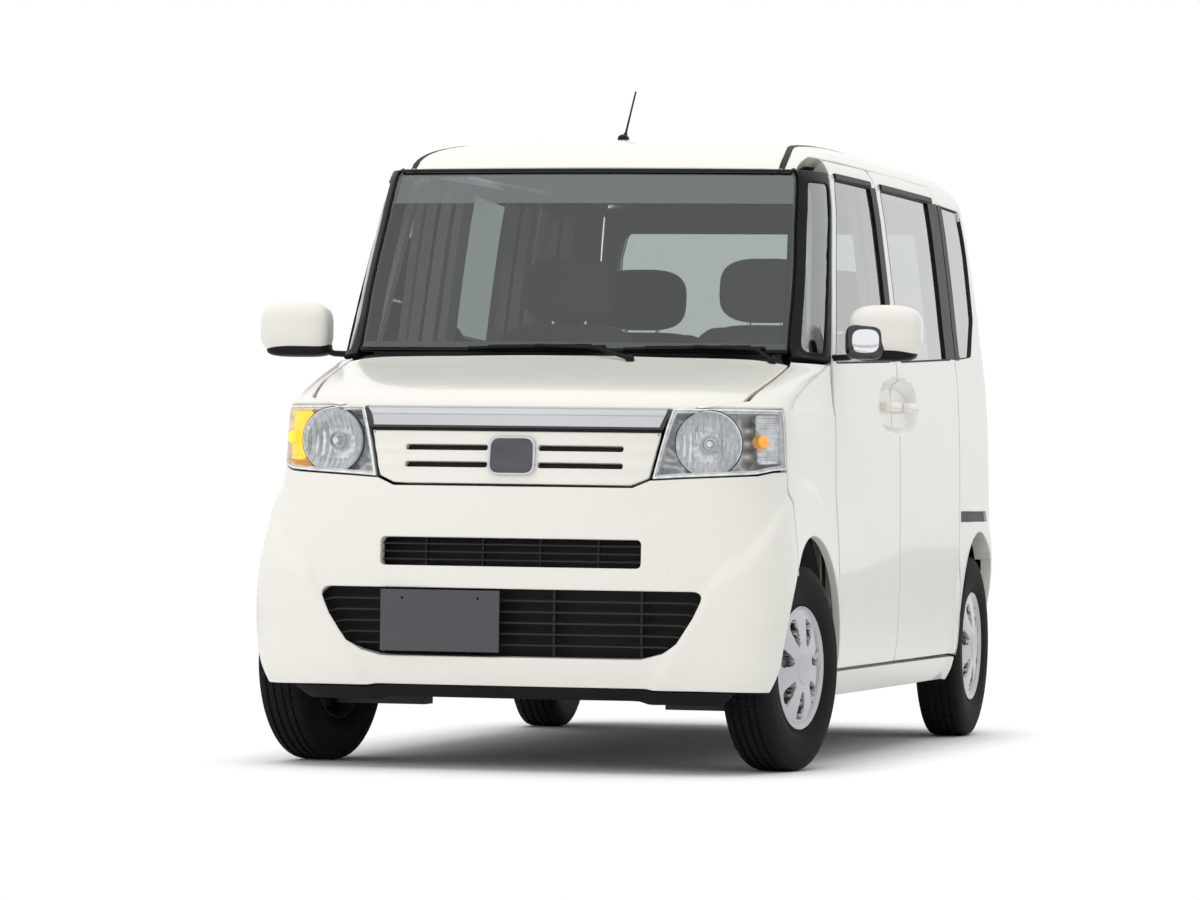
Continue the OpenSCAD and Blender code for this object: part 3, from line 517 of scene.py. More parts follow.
# ---------------------------------------------------------------- materials
def material(name, colour, rough, metallic=0.0, vary=0.04, grain=60.0, bump=0.05, rough_vary=0.05, blotch=3.0,
             **sockets):
    """Plain finish with uneven colour, uneven roughness and a fine bump."""
    m = bpy.data.materials.new(name)
    m.use_nodes = True
    nt = m.node_tree
    b = nt.nodes["Principled BSDF"]
    place_ = nt.nodes.new("ShaderNodeTexCoord")
    broad = nt.nodes.new("ShaderNodeTexNoise")
    broad.inputs["Scale"].default_value = blotch
    broad.inputs["Detail"].default_value = 5
    fine = nt.nodes.new("ShaderNodeTexNoise")
    fine.inputs["Scale"].default_value = grain
    fine.inputs["Detail"].default_value = 4
    for n in (broad, fine):
        nt.links.new(place_.outputs["Object"], n.inputs["Vector"])
    ramp = nt.nodes.new("ShaderNodeValToRGB")
    dark = tuple(c * (1 - vary) for c in colour)
    light = tuple(min(1, c * (1 + vary)) for c in colour)
    ramp.color_ramp.elements[0].color = (*dark, 1)
    ramp.color_ramp.elements[1].color = (*light, 1)
    ramp.color_ramp.elements[0].position = 0.3
    ramp.color_ramp.elements[1].position = 0.7
    nt.links.new(broad.outputs["Fac"], ramp.inputs["Fac"])
    nt.links.new(ramp.outputs["Color"], b.inputs["Base Color"])
    span = nt.nodes.new("ShaderNodeMapRange")
    span.inputs["To Min"].default_value = max(0.0, rough - rough_vary)
    span.inputs["To Max"].default_value = min(1.0, rough + rough_vary)
    nt.links.new(fine.outputs["Fac"], span.inputs["Value"])
    nt.links.new(span.outputs["Result"], b.inputs["Roughness"])
    if bump:
        bm = nt.nodes.new("ShaderNodeBump")
        bm.inputs["Strength"].default_value = bump
        bm.inputs["Distance"].default_value = 0.001
        nt.links.new(fine.outputs["Fac"], bm.inputs["Height"])
        nt.links.new(bm.outputs["Normal"], b.inputs["Normal"])
    b.inputs["Metallic"].default_value = metallic
    for k, v in sockets.items():
        b.inputs[k.replace("_", " ")].default_value = v
    return m


def glass(name, tint, gleam, rough=0.02, film=0.0):
    """Pane that lets light through its tint and mirrors more the more it is seen along its face."""
    m = bpy.data.materials.new(name)
    m.use_nodes = True
    nt = m.node_tree
    b = nt.nodes["Principled BSDF"]
    b.inputs["Base Color"].default_value = (0.80, 0.83, 0.83, 1)
    b.inputs["Metallic"].default_value = 1.0
    b.inputs["Roughness"].default_value = rough
    clear = nt.nodes.new("ShaderNodeBsdfTransparent")
    noise = nt.nodes.new("ShaderNodeTexNoise")
    noise.inputs["Scale"].default_value = 2.0
    ramp = nt.nodes.new("ShaderNodeValToRGB")
    ramp.color_ramp.elements[0].color = (*(c * 0.97 for c in tint), 1)
    ramp.color_ramp.elements[1].color = (*tint, 1)
    nt.links.new(noise.outputs["Fac"], ramp.inputs["Fac"])
    nt.links.new(ramp.outputs["Color"], clear.inputs["Color"])
    edge = nt.nodes.new("ShaderNodeLayerWeight")
    edge.inputs["Blend"].default_value = gleam
    top = nt.nodes.new("ShaderNodeMapRange")
    top.inputs["To Min"].default_value = film
    top.inputs["To Max"].default_value = 1.0
    nt.links.new(edge.outputs["Fresnel"], top.inputs["Value"])
    mix = nt.nodes.new("ShaderNodeMixShader")
    nt.links.new(top.outputs["Result"], mix.inputs["Fac"])
    nt.links.new(clear.outputs["BSDF"], mix.inputs[1])
    nt.links.new(b.outputs["BSDF"], mix.inputs[2])
    nt.links.new(mix.outputs["Shader"], nt.nodes["Material Output"].inputs["Surface"])
    return m


def woven(name, colour, thread=900.0):
    """Seat cloth: two crossed sets of threads under a soft pile."""
    m = material(name, colour, 0.85, vary=0.12, grain=220, bump=0.0, Sheen_Weight=0.35, Sheen_Roughness=0.5)
    nt = m.node_tree
    b = nt.nodes["Principled BSDF"]
    place_ = nt.nodes["Texture Coordinate"]
    total = None
    for axis in ("X", "Z"):
        w = nt.nodes.new("ShaderNodeTexWave")
        w.bands_direction = axis
        w.inputs["Scale"].default_value = thread / 6
        w.inputs["Distortion"].default_value = 0.6
        nt.links.new(place_.outputs["Object"], w.inputs["Vector"])
        if total is None:
            total = w
        else:
            both = nt.nodes.new("ShaderNodeMath")
            both.operation = "ADD"
            nt.links.new(total.outputs["Fac"], both.inputs[0])
            nt.links.new(w.outputs["Fac"], both.inputs[1])
            bm = nt.nodes.new("ShaderNodeBump")
            bm.inputs["Strength"].default_value = 0.4
            bm.inputs["Distance"].default_value = 0.001
            nt.links.new(both.outputs["Value"], bm.inputs["Height"])
            nt.links.new(bm.outputs["Normal"], b.inputs["Normal"])
    return m


PAINT = material("white_paint", (0.80, 0.785, 0.73), 0.30, vary=0.012, grain=900, bump=0.02, rough_vary=0.03,
                 Coat_Weight=0.6, Coat_Roughness=0.05)
INNER_PAINT = material("inner_paint", (0.70, 0.69, 0.64), 0.45, vary=0.02, grain=400, bump=0.03, Coat_Weight=0.4)
TRIM = material("black_trim", (0.010, 0.010, 0.011), 0.42, vary=0.2, grain=700, bump=0.12, Specular_IOR_Level=0.12)
GLOSS_BLACK = material("gloss_black", (0.012, 0.012, 0.013), 0.12, vary=0.1, grain=300, bump=0.01, Coat_Weight=0.6)
RUBBER = material("seal_rubber", (0.012, 0.012, 0.013), 0.7, vary=0.2, grain=800, bump=0.2)
LINING = material("cabin_plastic", (0.46, 0.45, 0.43), 0.62, vary=0.05, grain=900, bump=0.25)
DARK_LINING = material("dark_cabin_plastic", (0.055, 0.055, 0.058), 0.6, vary=0.12, grain=1100, bump=0.3)
CLOTH = woven("seat_cloth", (0.120, 0.118, 0.114))
CHROME = material("chrome", (0.83, 0.84, 0.86), 0.07, 1.0, vary=0.02, grain=300, bump=0.004, rough_vary=0.02)
SATIN = material("silver_paint", (0.45, 0.46, 0.48), 0.30, 0.80, vary=0.03, grain=1500, bump=0.02,
                 Coat_Weight=0.7, Coat_Roughness=0.05)
STEEL = material("chassis_steel", (0.045, 0.045, 0.048), 0.55, 0.3, vary=0.3, grain=120, bump=0.25, blotch=8)
CAST = material("cast_metal", (0.30, 0.30, 0.31), 0.5, 0.9, vary=0.15, grain=300, bump=0.4, blotch=12)
PIPE = material("exhaust_steel", (0.36, 0.33, 0.30), 0.42, 0.9, vary=0.25, grain=90, bump=0.1, blotch=10)
TYRE = material("tyre_rubber", (0.011, 0.011, 0.012), 0.66, vary=0.25, grain=260, bump=0.22, rough_vary=0.1,
                Specular_IOR_Level=0.08)
PLATE = material("blank_plate", (0.050, 0.052, 0.058), 0.4, vary=0.05, grain=500, bump=0.03, Coat_Weight=0.3)
AMBER = material("amber_lens", (0.95, 0.36, 0.02), 0.15, vary=0.15, grain=200, bump=0.25, blotch=40,
                 Coat_Weight=1.0, Emission_Color=(1.0, 0.38, 0.03, 1), Emission_Strength=0.25)
RED = material("red_lens", (0.42, 0.012, 0.014), 0.12, vary=0.2, grain=240, bump=0.3, blotch=30, Coat_Weight=1.0)
WINDSHIELD = glass("windshield_glass", (0.74, 0.80, 0.78), 0.12, film=0.10)
SIDE_GLASS = glass("side_window_glass", (0.74, 0.79, 0.77), 0.50, film=0.30)
DARK_GLASS = glass("privacy_glass", (0.46, 0.49, 0.49), 0.55, film=0.42)
LENS = glass("lamp_lens", (0.94, 0.96, 0.97), 0.10, film=0.02)
SHADE_BAND = glass("shade_band", (0.40, 0.40, 0.46), 0.10, film=0.26)


# ---------------------------------------------------------------- parts of pieces
def lathe(name, profile, centre, axis, up=(0, 0, 1), n=96, shift=None):
    """Surface turned round an axis from (along, radius) points; shift may move each point."""
    axis = Vector(axis).normalized()
    a = Vector(up) - axis * axis.dot(Vector(up))
    a.normalize()
    b = axis.cross(a)
    verts, faces = [], []
    for i in range(n):
        t = 2 * math.pi * i / n
        for k, (h, r) in enumerate(profile):
            if shift is not None:
                h, r = shift(h, r, t, k)
            verts.append(Vector(centre) + axis * h + (a * math.cos(t) + b * math.sin(t)) * r)
    m = len(profile)
    for i in range(n):
        j = (i + 1) % n
        for k in range(m - 1):
            faces.append((i * m + k, i * m + k + 1, j * m + k + 1, j * m + k))
    mesh = bpy.data.meshes.new(name)
    mesh.from_pydata([tuple(v) for v in verts], [], faces)
    mesh.shade_smooth()
    ob = bpy.data.objects.new(name, mesh)
    bpy.context.scene.collection.objects.link(ob)
    return ob


def fix_normals(ob, angle=40):
    bm = bmesh.new()
    bm.from_mesh(ob.data)
    bmesh.ops.remove_doubles(bm, verts=bm.verts, dist=1e-6)
    bmesh.ops.recalc_face_normals(bm, faces=bm.faces)
    for e in bm.edges:
        if len(e.link_faces) == 2 and e.calc_face_angle(0) > math.radians(angle):
            e.smooth = False
    bm.to_mesh(ob.data)
    bm.free()
    return ob


def tube(name, path, r, n=12, flat=1.0, closed=False, up=(0, 0, 1)):
    """Round or flattened bar along a path."""
    path = [Vector(p) for p in path]
    verts, faces = [], []
    m = len(path)
    radii = [r] * m if np.isscalar(r) else r
    for i, p in enumerate(path):
        a = path[(i - 1) % m] if closed or i else path[0]
        b = path[(i + 1) % m] if closed or i < m - 1 else path[-1]
        t = (b - a).normalized()
        s = t.cross(Vector(up)).normalized()
        w = s.cross(t).normalized()
        for k in range(n):
            g = 2 * math.pi * k / n
            verts.append(p + s * math.cos(g) * radii[i] + w * math.sin(g) * radii[i] * flat)
    for i in range(m if closed else m - 1):
        j = (i + 1) % m
        for k in range(n):
            faces.append((i * n + k, i * n + (k + 1) % n, j * n + (k + 1) % n, j * n + k))
    if not closed:
        faces.append(tuple(range(n - 1, -1, -1)))
        faces.append(tuple((m - 1) * n + k for k in range(n)))
    mesh = bpy.data.meshes.new(name)
    mesh.from_pydata([tuple(v) for v in verts], [], faces)
    mesh.shade_smooth()
    ob = bpy.data.objects.new(name, mesh)
    bpy.context.scene.collection.objects.link(ob)
    return fix_normals(ob, 50)


def pad(name, centre, size, power=4.0, tilt=0.0, shape=None, n=56, m=36):
    """Closed rounded form with crowned faces; shape may move each point in its own frame."""
    verts, faces = [], []
    for i in range(m + 1):
        ph = -math.pi / 2 + math.pi * i / m
        for k in range(n):
            th = 2 * math.pi * k / n
            d = np.array([math.cos(ph) * math.cos(th), math.cos(ph) * math.sin(th), math.sin(ph)])
            s = (np.abs(d) ** power).sum() ** (-1 / power)
            p = d * s * np.array(size) / 2
            if shape is not None:
                p = np.array(shape(*p))
            c, q = math.cos(tilt), math.sin(tilt)
            verts.append((centre[0] + c * p[0] + q * p[2], centre[1] + p[1], centre[2] - q * p[0] + c * p[2]))
    for i in range(m):
        for k in range(n):
            faces.append((i * n + k, i * n + (k + 1) % n, (i + 1) * n + (k + 1) % n, (i + 1) * n + k))
    mesh = bpy.data.meshes.new(name)
    mesh.from_pydata(verts, [], faces)
    mesh.shade_smooth()
    ob = bpy.data.objects.new(name, mesh)
    bpy.context.scene.collection.objects.link(ob)
    return fix_normals(ob, 70)


def joined(name, obs):
    """One piece from several, keeping each one's material."""
    with bpy.context.temp_override(active_object=obs[0], selected_editable_objects=obs):
        bpy.ops.object.join()
    obs[0].name = name
    return obs[0]


def wear(ob, mat):
    ob.data.materials.clear()
    ob.data.materials.append(mat)
    return ob


def strip(name, surf, path, depth, height, width):
    """Flat bar of the given section laid along a surface."""
    path = np.array(path)
    out_p, n = surf.at(path, -height)
    in_p, _ = surf.at(path, depth)
    t = np.gradient(out_p, axis=0)
    t /= np.linalg.norm(t, axis=1, keepdims=True)
    s = np.cross(t, n) * width / 2
    verts = np.vstack([out_p - s * 0.8, out_p + s * 0.8, in_p + s, in_p - s])
    k = len(path)
    faces = []
    for a in range(4):
        b = (a + 1) % 4
        faces += [(a * k + i, a * k + i + 1, b * k + i + 1, b * k + i) for i in range(k - 1)]
    faces += [(0, k, 2 * k, 3 * k), (k - 1, 4 * k - 1, 3 * k - 1, 2 * k - 1)]
    mesh = bpy.data.meshes.new(name)
    mesh.from_pydata([tuple(v) for v in verts], [], faces)
    mesh.shade_smooth()
    ob = bpy.data.objects.new(name, mesh)
    bpy.context.scene.collection.objects.link(ob)
    return fix_normals(ob, 30)


def both(make):
    """Makes a left piece and its mirror image. make gives (object, name, body, slot, nodes); the slot is not used."""
    ob, name, body, slot, nodes = make
    right = flipped(ob, name.replace("left", "right"))
    place(right, body.replace("left", "right"), [n.replace("left", "right") for n in nodes])
    ob.name = name
    place(ob, body, nodes)
    return ob, right


def dress(ob, *mats):
    for m in mats:
        ob.data.materials.append(m)
    return ob


def side(points):
    return [nose.x(*p) for p in points]


def front(points):
    return [nose.y(*p) for p in points]


def rear(points):
    return [tail.y(*p) for p in points]


def side_line(a, b, surf=nose, n=12):
    """Straight line in the side view, as places on the skin."""
    return [surf.x(a[0] + (b[0] - a[0]) * k / n, a[1] + (b[1] - a[1]) * k / n) for k in range(n)]


def side_shape(points, radii, surf=nose):
    """Rounded side-view outline as places on the skin."""
    return [surf.x(*p) for p in dense(rounded(points, radii), 0.02)]


def arch(axle, start, end, surf=nose, n=40, r=ARCH_R):
    """Wheel arch seen from the side, from one angle to another in degrees."""
    out = []
    for k in range(n + 1):
        t = math.radians(start + (end - start) * k / n)
        out.append(surf.x(axle[0] + r * math.cos(t), axle[1] + r * math.sin(t)))
    return out


# ---------------------------------------------------------------- painted panels
FRONT_WINDOW = [(0.095, 1.142), (0.820, 1.122), (0.792, 1.180), (0.590, 1.600), (0.560, 1.642), (0.085, 1.642)]
SLIDING_WINDOW = [(-0.862, 1.170), (-0.045, 1.144), (-0.040, 1.642), (-0.850, 1.642)]
QUARTER_WINDOW = [(-1.225, 1.185), (-1.010, 1.174), (-1.000, 1.642), (-1.330, 1.638), (-1.352, 1.500),
                  (-1.335, 1.300)]
CORNER_WINDOW = [(0.905, 1.146), (1.000, 1.146), (0.768, 1.625), (0.648, 1.625)]
SPLIT = [(1.484, 0.537), (1.428, 0.805)]


def doors():
    out = [(0.0235, 0.265), (0.880, 0.265), (0.880, 1.108), (0.868, 1.120), (0.612, 1.650), (0.560, 1.702),
           (0.0235, 1.702)]
    radii = [0.012, 0.03, 0.02, 0.02, 0.02, 0.03, 0.02]
    hole = side_shape(FRONT_WINDOW, [0.015, 0.012, 0.012, 0.012, 0.03, 0.015])
    ob = panel("door", nose, side_shape(out, radii), [hole], thick=0.040, step=0.016, inner=True)
    dress(ob, PAINT, LINING)
    both((ob, "front_door_skin_left", "front_door_left", "paint", ["front_door_left"]))
    ob = panel("glass", nose, hole, depth=0.006, edge=0.0008, thick=0.004, step=0.05, gap=-0.006)
    dress(ob, SIDE_GLASS)
    both((ob, "front_door_pane_left", "front_door_left", "clear_glass", ["front_door_glass_left"]))
    out = [(-0.933, 0.265), (0.0165, 0.265), (0.0165, 1.702), (-0.933, 1.702)]
    hole = side_shape(SLIDING_WINDOW, 0.02)
    ob = panel("door", nose, side_shape(out, 0.02), [hole], thick=0.040, step=0.016, inner=True)
    dress(ob, PAINT, LINING)
    left, right = both((ob, "sliding_door_skin_left", "body", "paint", []))
    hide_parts("sliding_doors")
    ob = panel("glass", nose, hole, depth=0.006, edge=0.0008, thick=0.004, step=0.05, gap=-0.006)
    dress(ob, DARK_GLASS)
    left, right = both((ob, "sliding_door_pane_left", "body", "privacy_glass", []))
    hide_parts("sliding_door_glass")


def sashes():
    """Black pillar covers, seals round the panes and the rain mouldings over the doors."""
    for x0, x1, name, body in ((0.026, 0.098, "front_door_sash_left", "front_door_left"),
                               (-0.930, -0.775, "sliding_door_sash_left", "body"),
                               (-1.012, -0.943, "quarter_sash_left", "body")):
        z0 = 1.140 if x0 > 0 else 1.168
        shape = side_shape([(x0, z0), (x1, z0 - 0.002), (x1, 1.646), (x0, 1.646)], 0.006)
        ob = dress(panel("sash", nose, shape, depth=-0.0012, edge=0.0008, thick=0.006, step=0.04, gap=0.0), TRIM)
        both((ob, name, body, "black_plastic", []))
    for window, r, wide, name, body in ((FRONT_WINDOW, 0.015, 0.006, "front_window_seal_left", "front_door_left"),
                                        (SLIDING_WINDOW, 0.02, 0.006, "sliding_window_seal_left", "body"),
                                        (QUARTER_WINDOW, 0.03, 0.0025, "quarter_window_seal_left", "body")):
        hole = side_shape(window, r)
        grown, _ = offset(ccw(dense(hole, 0.02)), -wide)
        ob = dress(panel("seal", nose, [tuple(p) for p in grown], [hole], depth=-0.0008, edge=0.0012, thick=0.010,
                         step=0.05, gap=0.0), RUBBER)
        both((ob, name, body, "black_plastic", []))
    for x0, x1, name, body in ((0.10, 0.555, "front_rain_moulding_left", "front_door_left"),
                               (-0.84, -0.045, "sliding_rain_moulding_left", "body")):
        path = [nose.x(x, 1.653) for x in np.linspace(x1, x0, 20)]
        ob = dress(strip("moulding", nose, path, 0.004, 0.006, 0.019), TRIM)
        both((ob, name, body, "black_plastic", []))


def windshield_u(z):
    """Side edge of the windshield at height z: a straight line in the side view."""
    return nose.x(1.040 - 0.487 * (z - 1.130), z)[0]


def quarters():
    """Rear quarter with its window, sill, and the black front pillar."""
    out = side([(-0.9405, 0.262)]) + arch(REAR_AXLE, 6, 132.7)
    out += side([(-1.500, 0.640)])

    def t(y, z):
        return (LENGTH - tail.y(y, z)[0], z)

    out += [nose.x(x, 0.640) for x in np.linspace(-1.52, -1.60, 4)]
    out += [t(0.585 + 0.012, 0.640), t(0.604, 0.80)]
    out += [nose.x(-1.562, 0.800), nose.x(-1.562, 1.230)]
    out += [t(0.604, 1.230), t(0.604, 1.25), t(0.557, 1.69)]
    out += [nose.x(x, 1.7085) for x in np.linspace(-1.50, -0.9405, 8)]
    out += side_line((-0.9405, 1.690), (-0.9405, 0.290), n=30)
    hole = side_shape(QUARTER_WINDOW, [0.05, 0.02, 0.02, 0.05, 0.05, 0.05])
    slot = side_shape([(-1.42, 0.672), (-0.962, 0.672), (-0.962, 0.700), (-1.42, 0.700)], 0.006)
    ob = panel("quarter", nose, out, [hole, slot], thick=0.050, step=0.02, inner=True)
    dress(ob, PAINT, LINING)
    left, right = both((ob, "rear_quarter_left", "body", "paint", []))
    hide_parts("body_sides")
    ob = panel("rail", nose, slot, depth=0.010, edge=0.001, thick=0.004, step=0.05, gap=-0.008)
    both((dress(ob, STEEL), "sliding_door_rail_left", "body", "chassis_steel", []))
    ob = panel("glass", nose, hole, depth=0.006, edge=0.0008, thick=0.004, step=0.05, gap=-0.006)
    left, right = both((dress(ob, DARK_GLASS), "quarter_pane_left", "body", "privacy_glass", []))
    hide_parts("side_glass")
    sill = side_shape([(-0.930, 0.186), (0.885, 0.186), (0.885, 0.2605), (-0.930, 0.2605)], 0.012)
    ob = panel("sill", nose, sill, thick=0.07, step=0.04, inner=True)
    both((dress(ob, PAINT, STEEL), "sill_left", "body", "paint", []))
    out = side([(0.886, 1.117)]) + [(windshield_u(z) + 0.002, z) for z in np.linspace(1.131, 1.660, 24)]
    out += side_line((0.784, 1.662), (0.616, 1.662)) + side_line((0.616, 1.662), (0.874, 1.122), n=20)
    hole = side_shape(CORNER_WINDOW, [0.015, 0.02, 0.02, 0.015])
    ob = panel("pillar", nose, out, [hole], depth=0.0, thick=0.05, step=0.03, gap=0.001, inner=True)
    both((dress(ob, TRIM, DARK_LINING), "front_pillar_left", "body", "black_plastic", []))
    ob = panel("glass", nose, hole, depth=0.004, edge=0.0008, thick=0.004, step=0.05, gap=-0.004)
    both((dress(ob, SIDE_GLASS), "corner_pane_left", "body", "clear_glass", []))


def fenders():
    out = side([(0.887, 0.205), (0.9125, 0.240)]) + arch(FRONT_AXLE, 180, 44.9)
    out += side_line(SPLIT[0], (1.430, 0.786))
    out += side([(1.433, 0.800)]) + side_line((1.433, 0.800), (1.433, 0.981), n=6)
    out += [nose.x(x, 0.9815) for x in np.linspace(1.433, 1.600, 12)]
    edge = [over_hood(x, y) for x, y in ((1.605, 0.5915), (1.56, 0.596), (1.50, 0.604), (1.40, 0.617),
                                         (1.30, 0.626), (1.20, 0.630), (1.10, 0.633))]
    out += [e for e in edge if e[1] > 0.9822]
    out += side([(1.060, 1.118)]) + side_line((0.887, 1.113), (0.887, 0.230), n=30)
    ob = panel("fender", nose, out, thick=0.018, step=0.014, inner=True)
    left, right = both((dress(ob, PAINT, STEEL), "fender_left", "body", "paint", []))
    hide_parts("front_fenders")


def hood():
    z = 0.9835
    ys = np.linspace(-0.590, 0.590, 31)
    lip = [(float(nose.sample(nose.g, np.array([nose.y(y, z)[0]]), np.array([z]))[0, 0]), y) for y in ys]
    left = [(1.56, 0.596), (1.50, 0.604), (1.40, 0.617), (1.30, 0.626), (1.20, 0.630), (1.096, 0.632)]
    back = [(1.108, 0.560), (1.134, 0.300), (1.140, 0.0)]
    out = lip + left + back + [(x, -y) for x, y in back[1::-1]] + [(x, -y) for x, y in left[::-1]]
    ob = panel("hood", hood_top, out, thick=0.012, step=0.022, inner=True, edge=0.004, gap=0.0035)
    finish_piece(ob, "hood", (PAINT, INNER_PAINT), ["hood"])
    ob.name = "hood_skin"


def roof():
    z0, z1 = 1.6645, 1.7095
    front_ys = np.linspace(0.0, 0.575, 20)
    half = [(float(np.interp(y, nose.row(z0)[nose.u >= 0][:120, 1], nose.row(z0)[nose.u >= 0][:120, 0])), y)
            for y in front_ys]
    row = nose.row(z1)[nose.u >= 0]
    for x in np.r_[0.59, 0.55, np.linspace(0.50, -1.47, 50)]:
        half.append((x, float(np.interp(-x, -row[:, 0], row[:, 1]))))
    rear_row = nose.row(1.697)[nose.u >= 0]
    for y in np.linspace(0.545, 0.0, 16):
        k = int(np.argmax(rear_row[:, 1]))
        half.append((float(np.interp(-y, -rear_row[k:, 1], rear_row[k:, 0])), y))
    out = half + [(x, -y) for x, y in half[-2:0:-1]]
    ob = panel("roof", roof_top, out, thick=0.028, step=0.03, inner=True)
    finish_piece(ob, "body", (PAINT, LINING), ["roof_panel"])
    ob.name = "roof_skin"
    path = [(x, 0.535 - 0.045 * float(smooth_step((0.78 - x) / 0.40))) for x in np.linspace(0.795, -1.50, 70)]
    ob = dress(strip("ditch", roof_top, path, 0.006, 0.0012, 0.021), RUBBER)
    both((ob, "roof_moulding_left", "body", "black_plastic", []))


def tailgate():
    shape = rear(dense(rounded([(-0.585, 0.645), (0.585, 0.645), (0.592, 1.25), (0.545, 1.69), (-0.545, 1.69),
                                (-0.592, 1.25)], 0.03), 0.03))
    hole = rear(dense(rounded([(-0.505, 1.165), (0.505, 1.165), (0.525, 1.20), (0.505, 1.50), (0.480, 1.585),
                               (-0.480, 1.585), (-0.505, 1.50), (-0.525, 1.20)], 0.03), 0.03))
    grip = rear(dense(rounded([(-0.14, 0.86), (0.14, 0.86), (0.14, 0.93), (-0.14, 0.93)], 0.02), 0.02))
    ob = panel("gate", tail, shape, [hole, grip], thick=0.040, step=0.025, inner=True)
    finish_piece(ob, "tailgate", (PAINT, LINING), ["tailgate"])
    ob.name = "tailgate_skin"
    ob = panel("tailgate_grip_cup", tail, grip, depth=0.022, edge=0.001, thick=0.006, step=0.03, gap=-0.02)
    finish_piece(ob, "tailgate", (TRIM,))
    rim = rear(dense(rounded([(-0.530, 1.145), (0.530, 1.145), (0.550, 1.185), (0.530, 1.50), (0.505, 1.605),
                              (-0.505, 1.605), (-0.530, 1.50), (-0.550, 1.185)], 0.035), 0.03))
    ob = panel("tailgate_glass_border", tail, rim, [hole], depth=-0.0035, edge=0.0008, thick=0.0025, step=0.05,
               gap=0)
    finish_piece(ob, "tailgate", (GLOSS_BLACK,))
    ob = panel("tailgate_pane", tail, hole, depth=-0.0005, edge=0.0006, thick=0.004, step=0.05, gap=-0.008)
    finish_piece(ob, "tailgate", (SIDE_GLASS,), ["tailgate_glass"])
    lamp = [(LENGTH - nose.x(-1.562, 0.8)[0], 0.803), tail.y(0.600, 0.803), tail.y(0.600, 1.227),
            (LENGTH - nose.x(-1.562, 1.227)[0], 1.227)]
    hollow = dense(rounded(lamp, 0.02), 0.01)
    for z0, z1, mat, name in ((0.803, 0.905, LENS, "reverse"), (0.905, 1.005, AMBER, "signal"),
                              (1.005, 1.227, RED, "stop")):
        u0, u1 = sorted((lamp[0][0], lamp[1][0]))
        cell = rounded([(u0, z0), (u1, z0), (u1, z1), (u0, z1)], 0.012)
        ob = panel("lamp", tail, cell, depth=-0.003, edge=0.004, thick=0.012, step=0.012, gap=0.0008,
                   relief=lambda uv: 0.0006 * np.sin(uv[:, 1] * 700))
        left, right = both((dress(ob, mat), f"tail_lamp_{name}_left", "body", "tail_lens", []))
        if name == "stop":
            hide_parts("tail_lamps")
    ob = panel("box", tail, hollow, depth=0.014, edge=0.001, thick=0.01, step=0.03, gap=-0.004)
    both((dress(ob, SATIN), "tail_lamp_reflector_left", "body", "chrome", []))


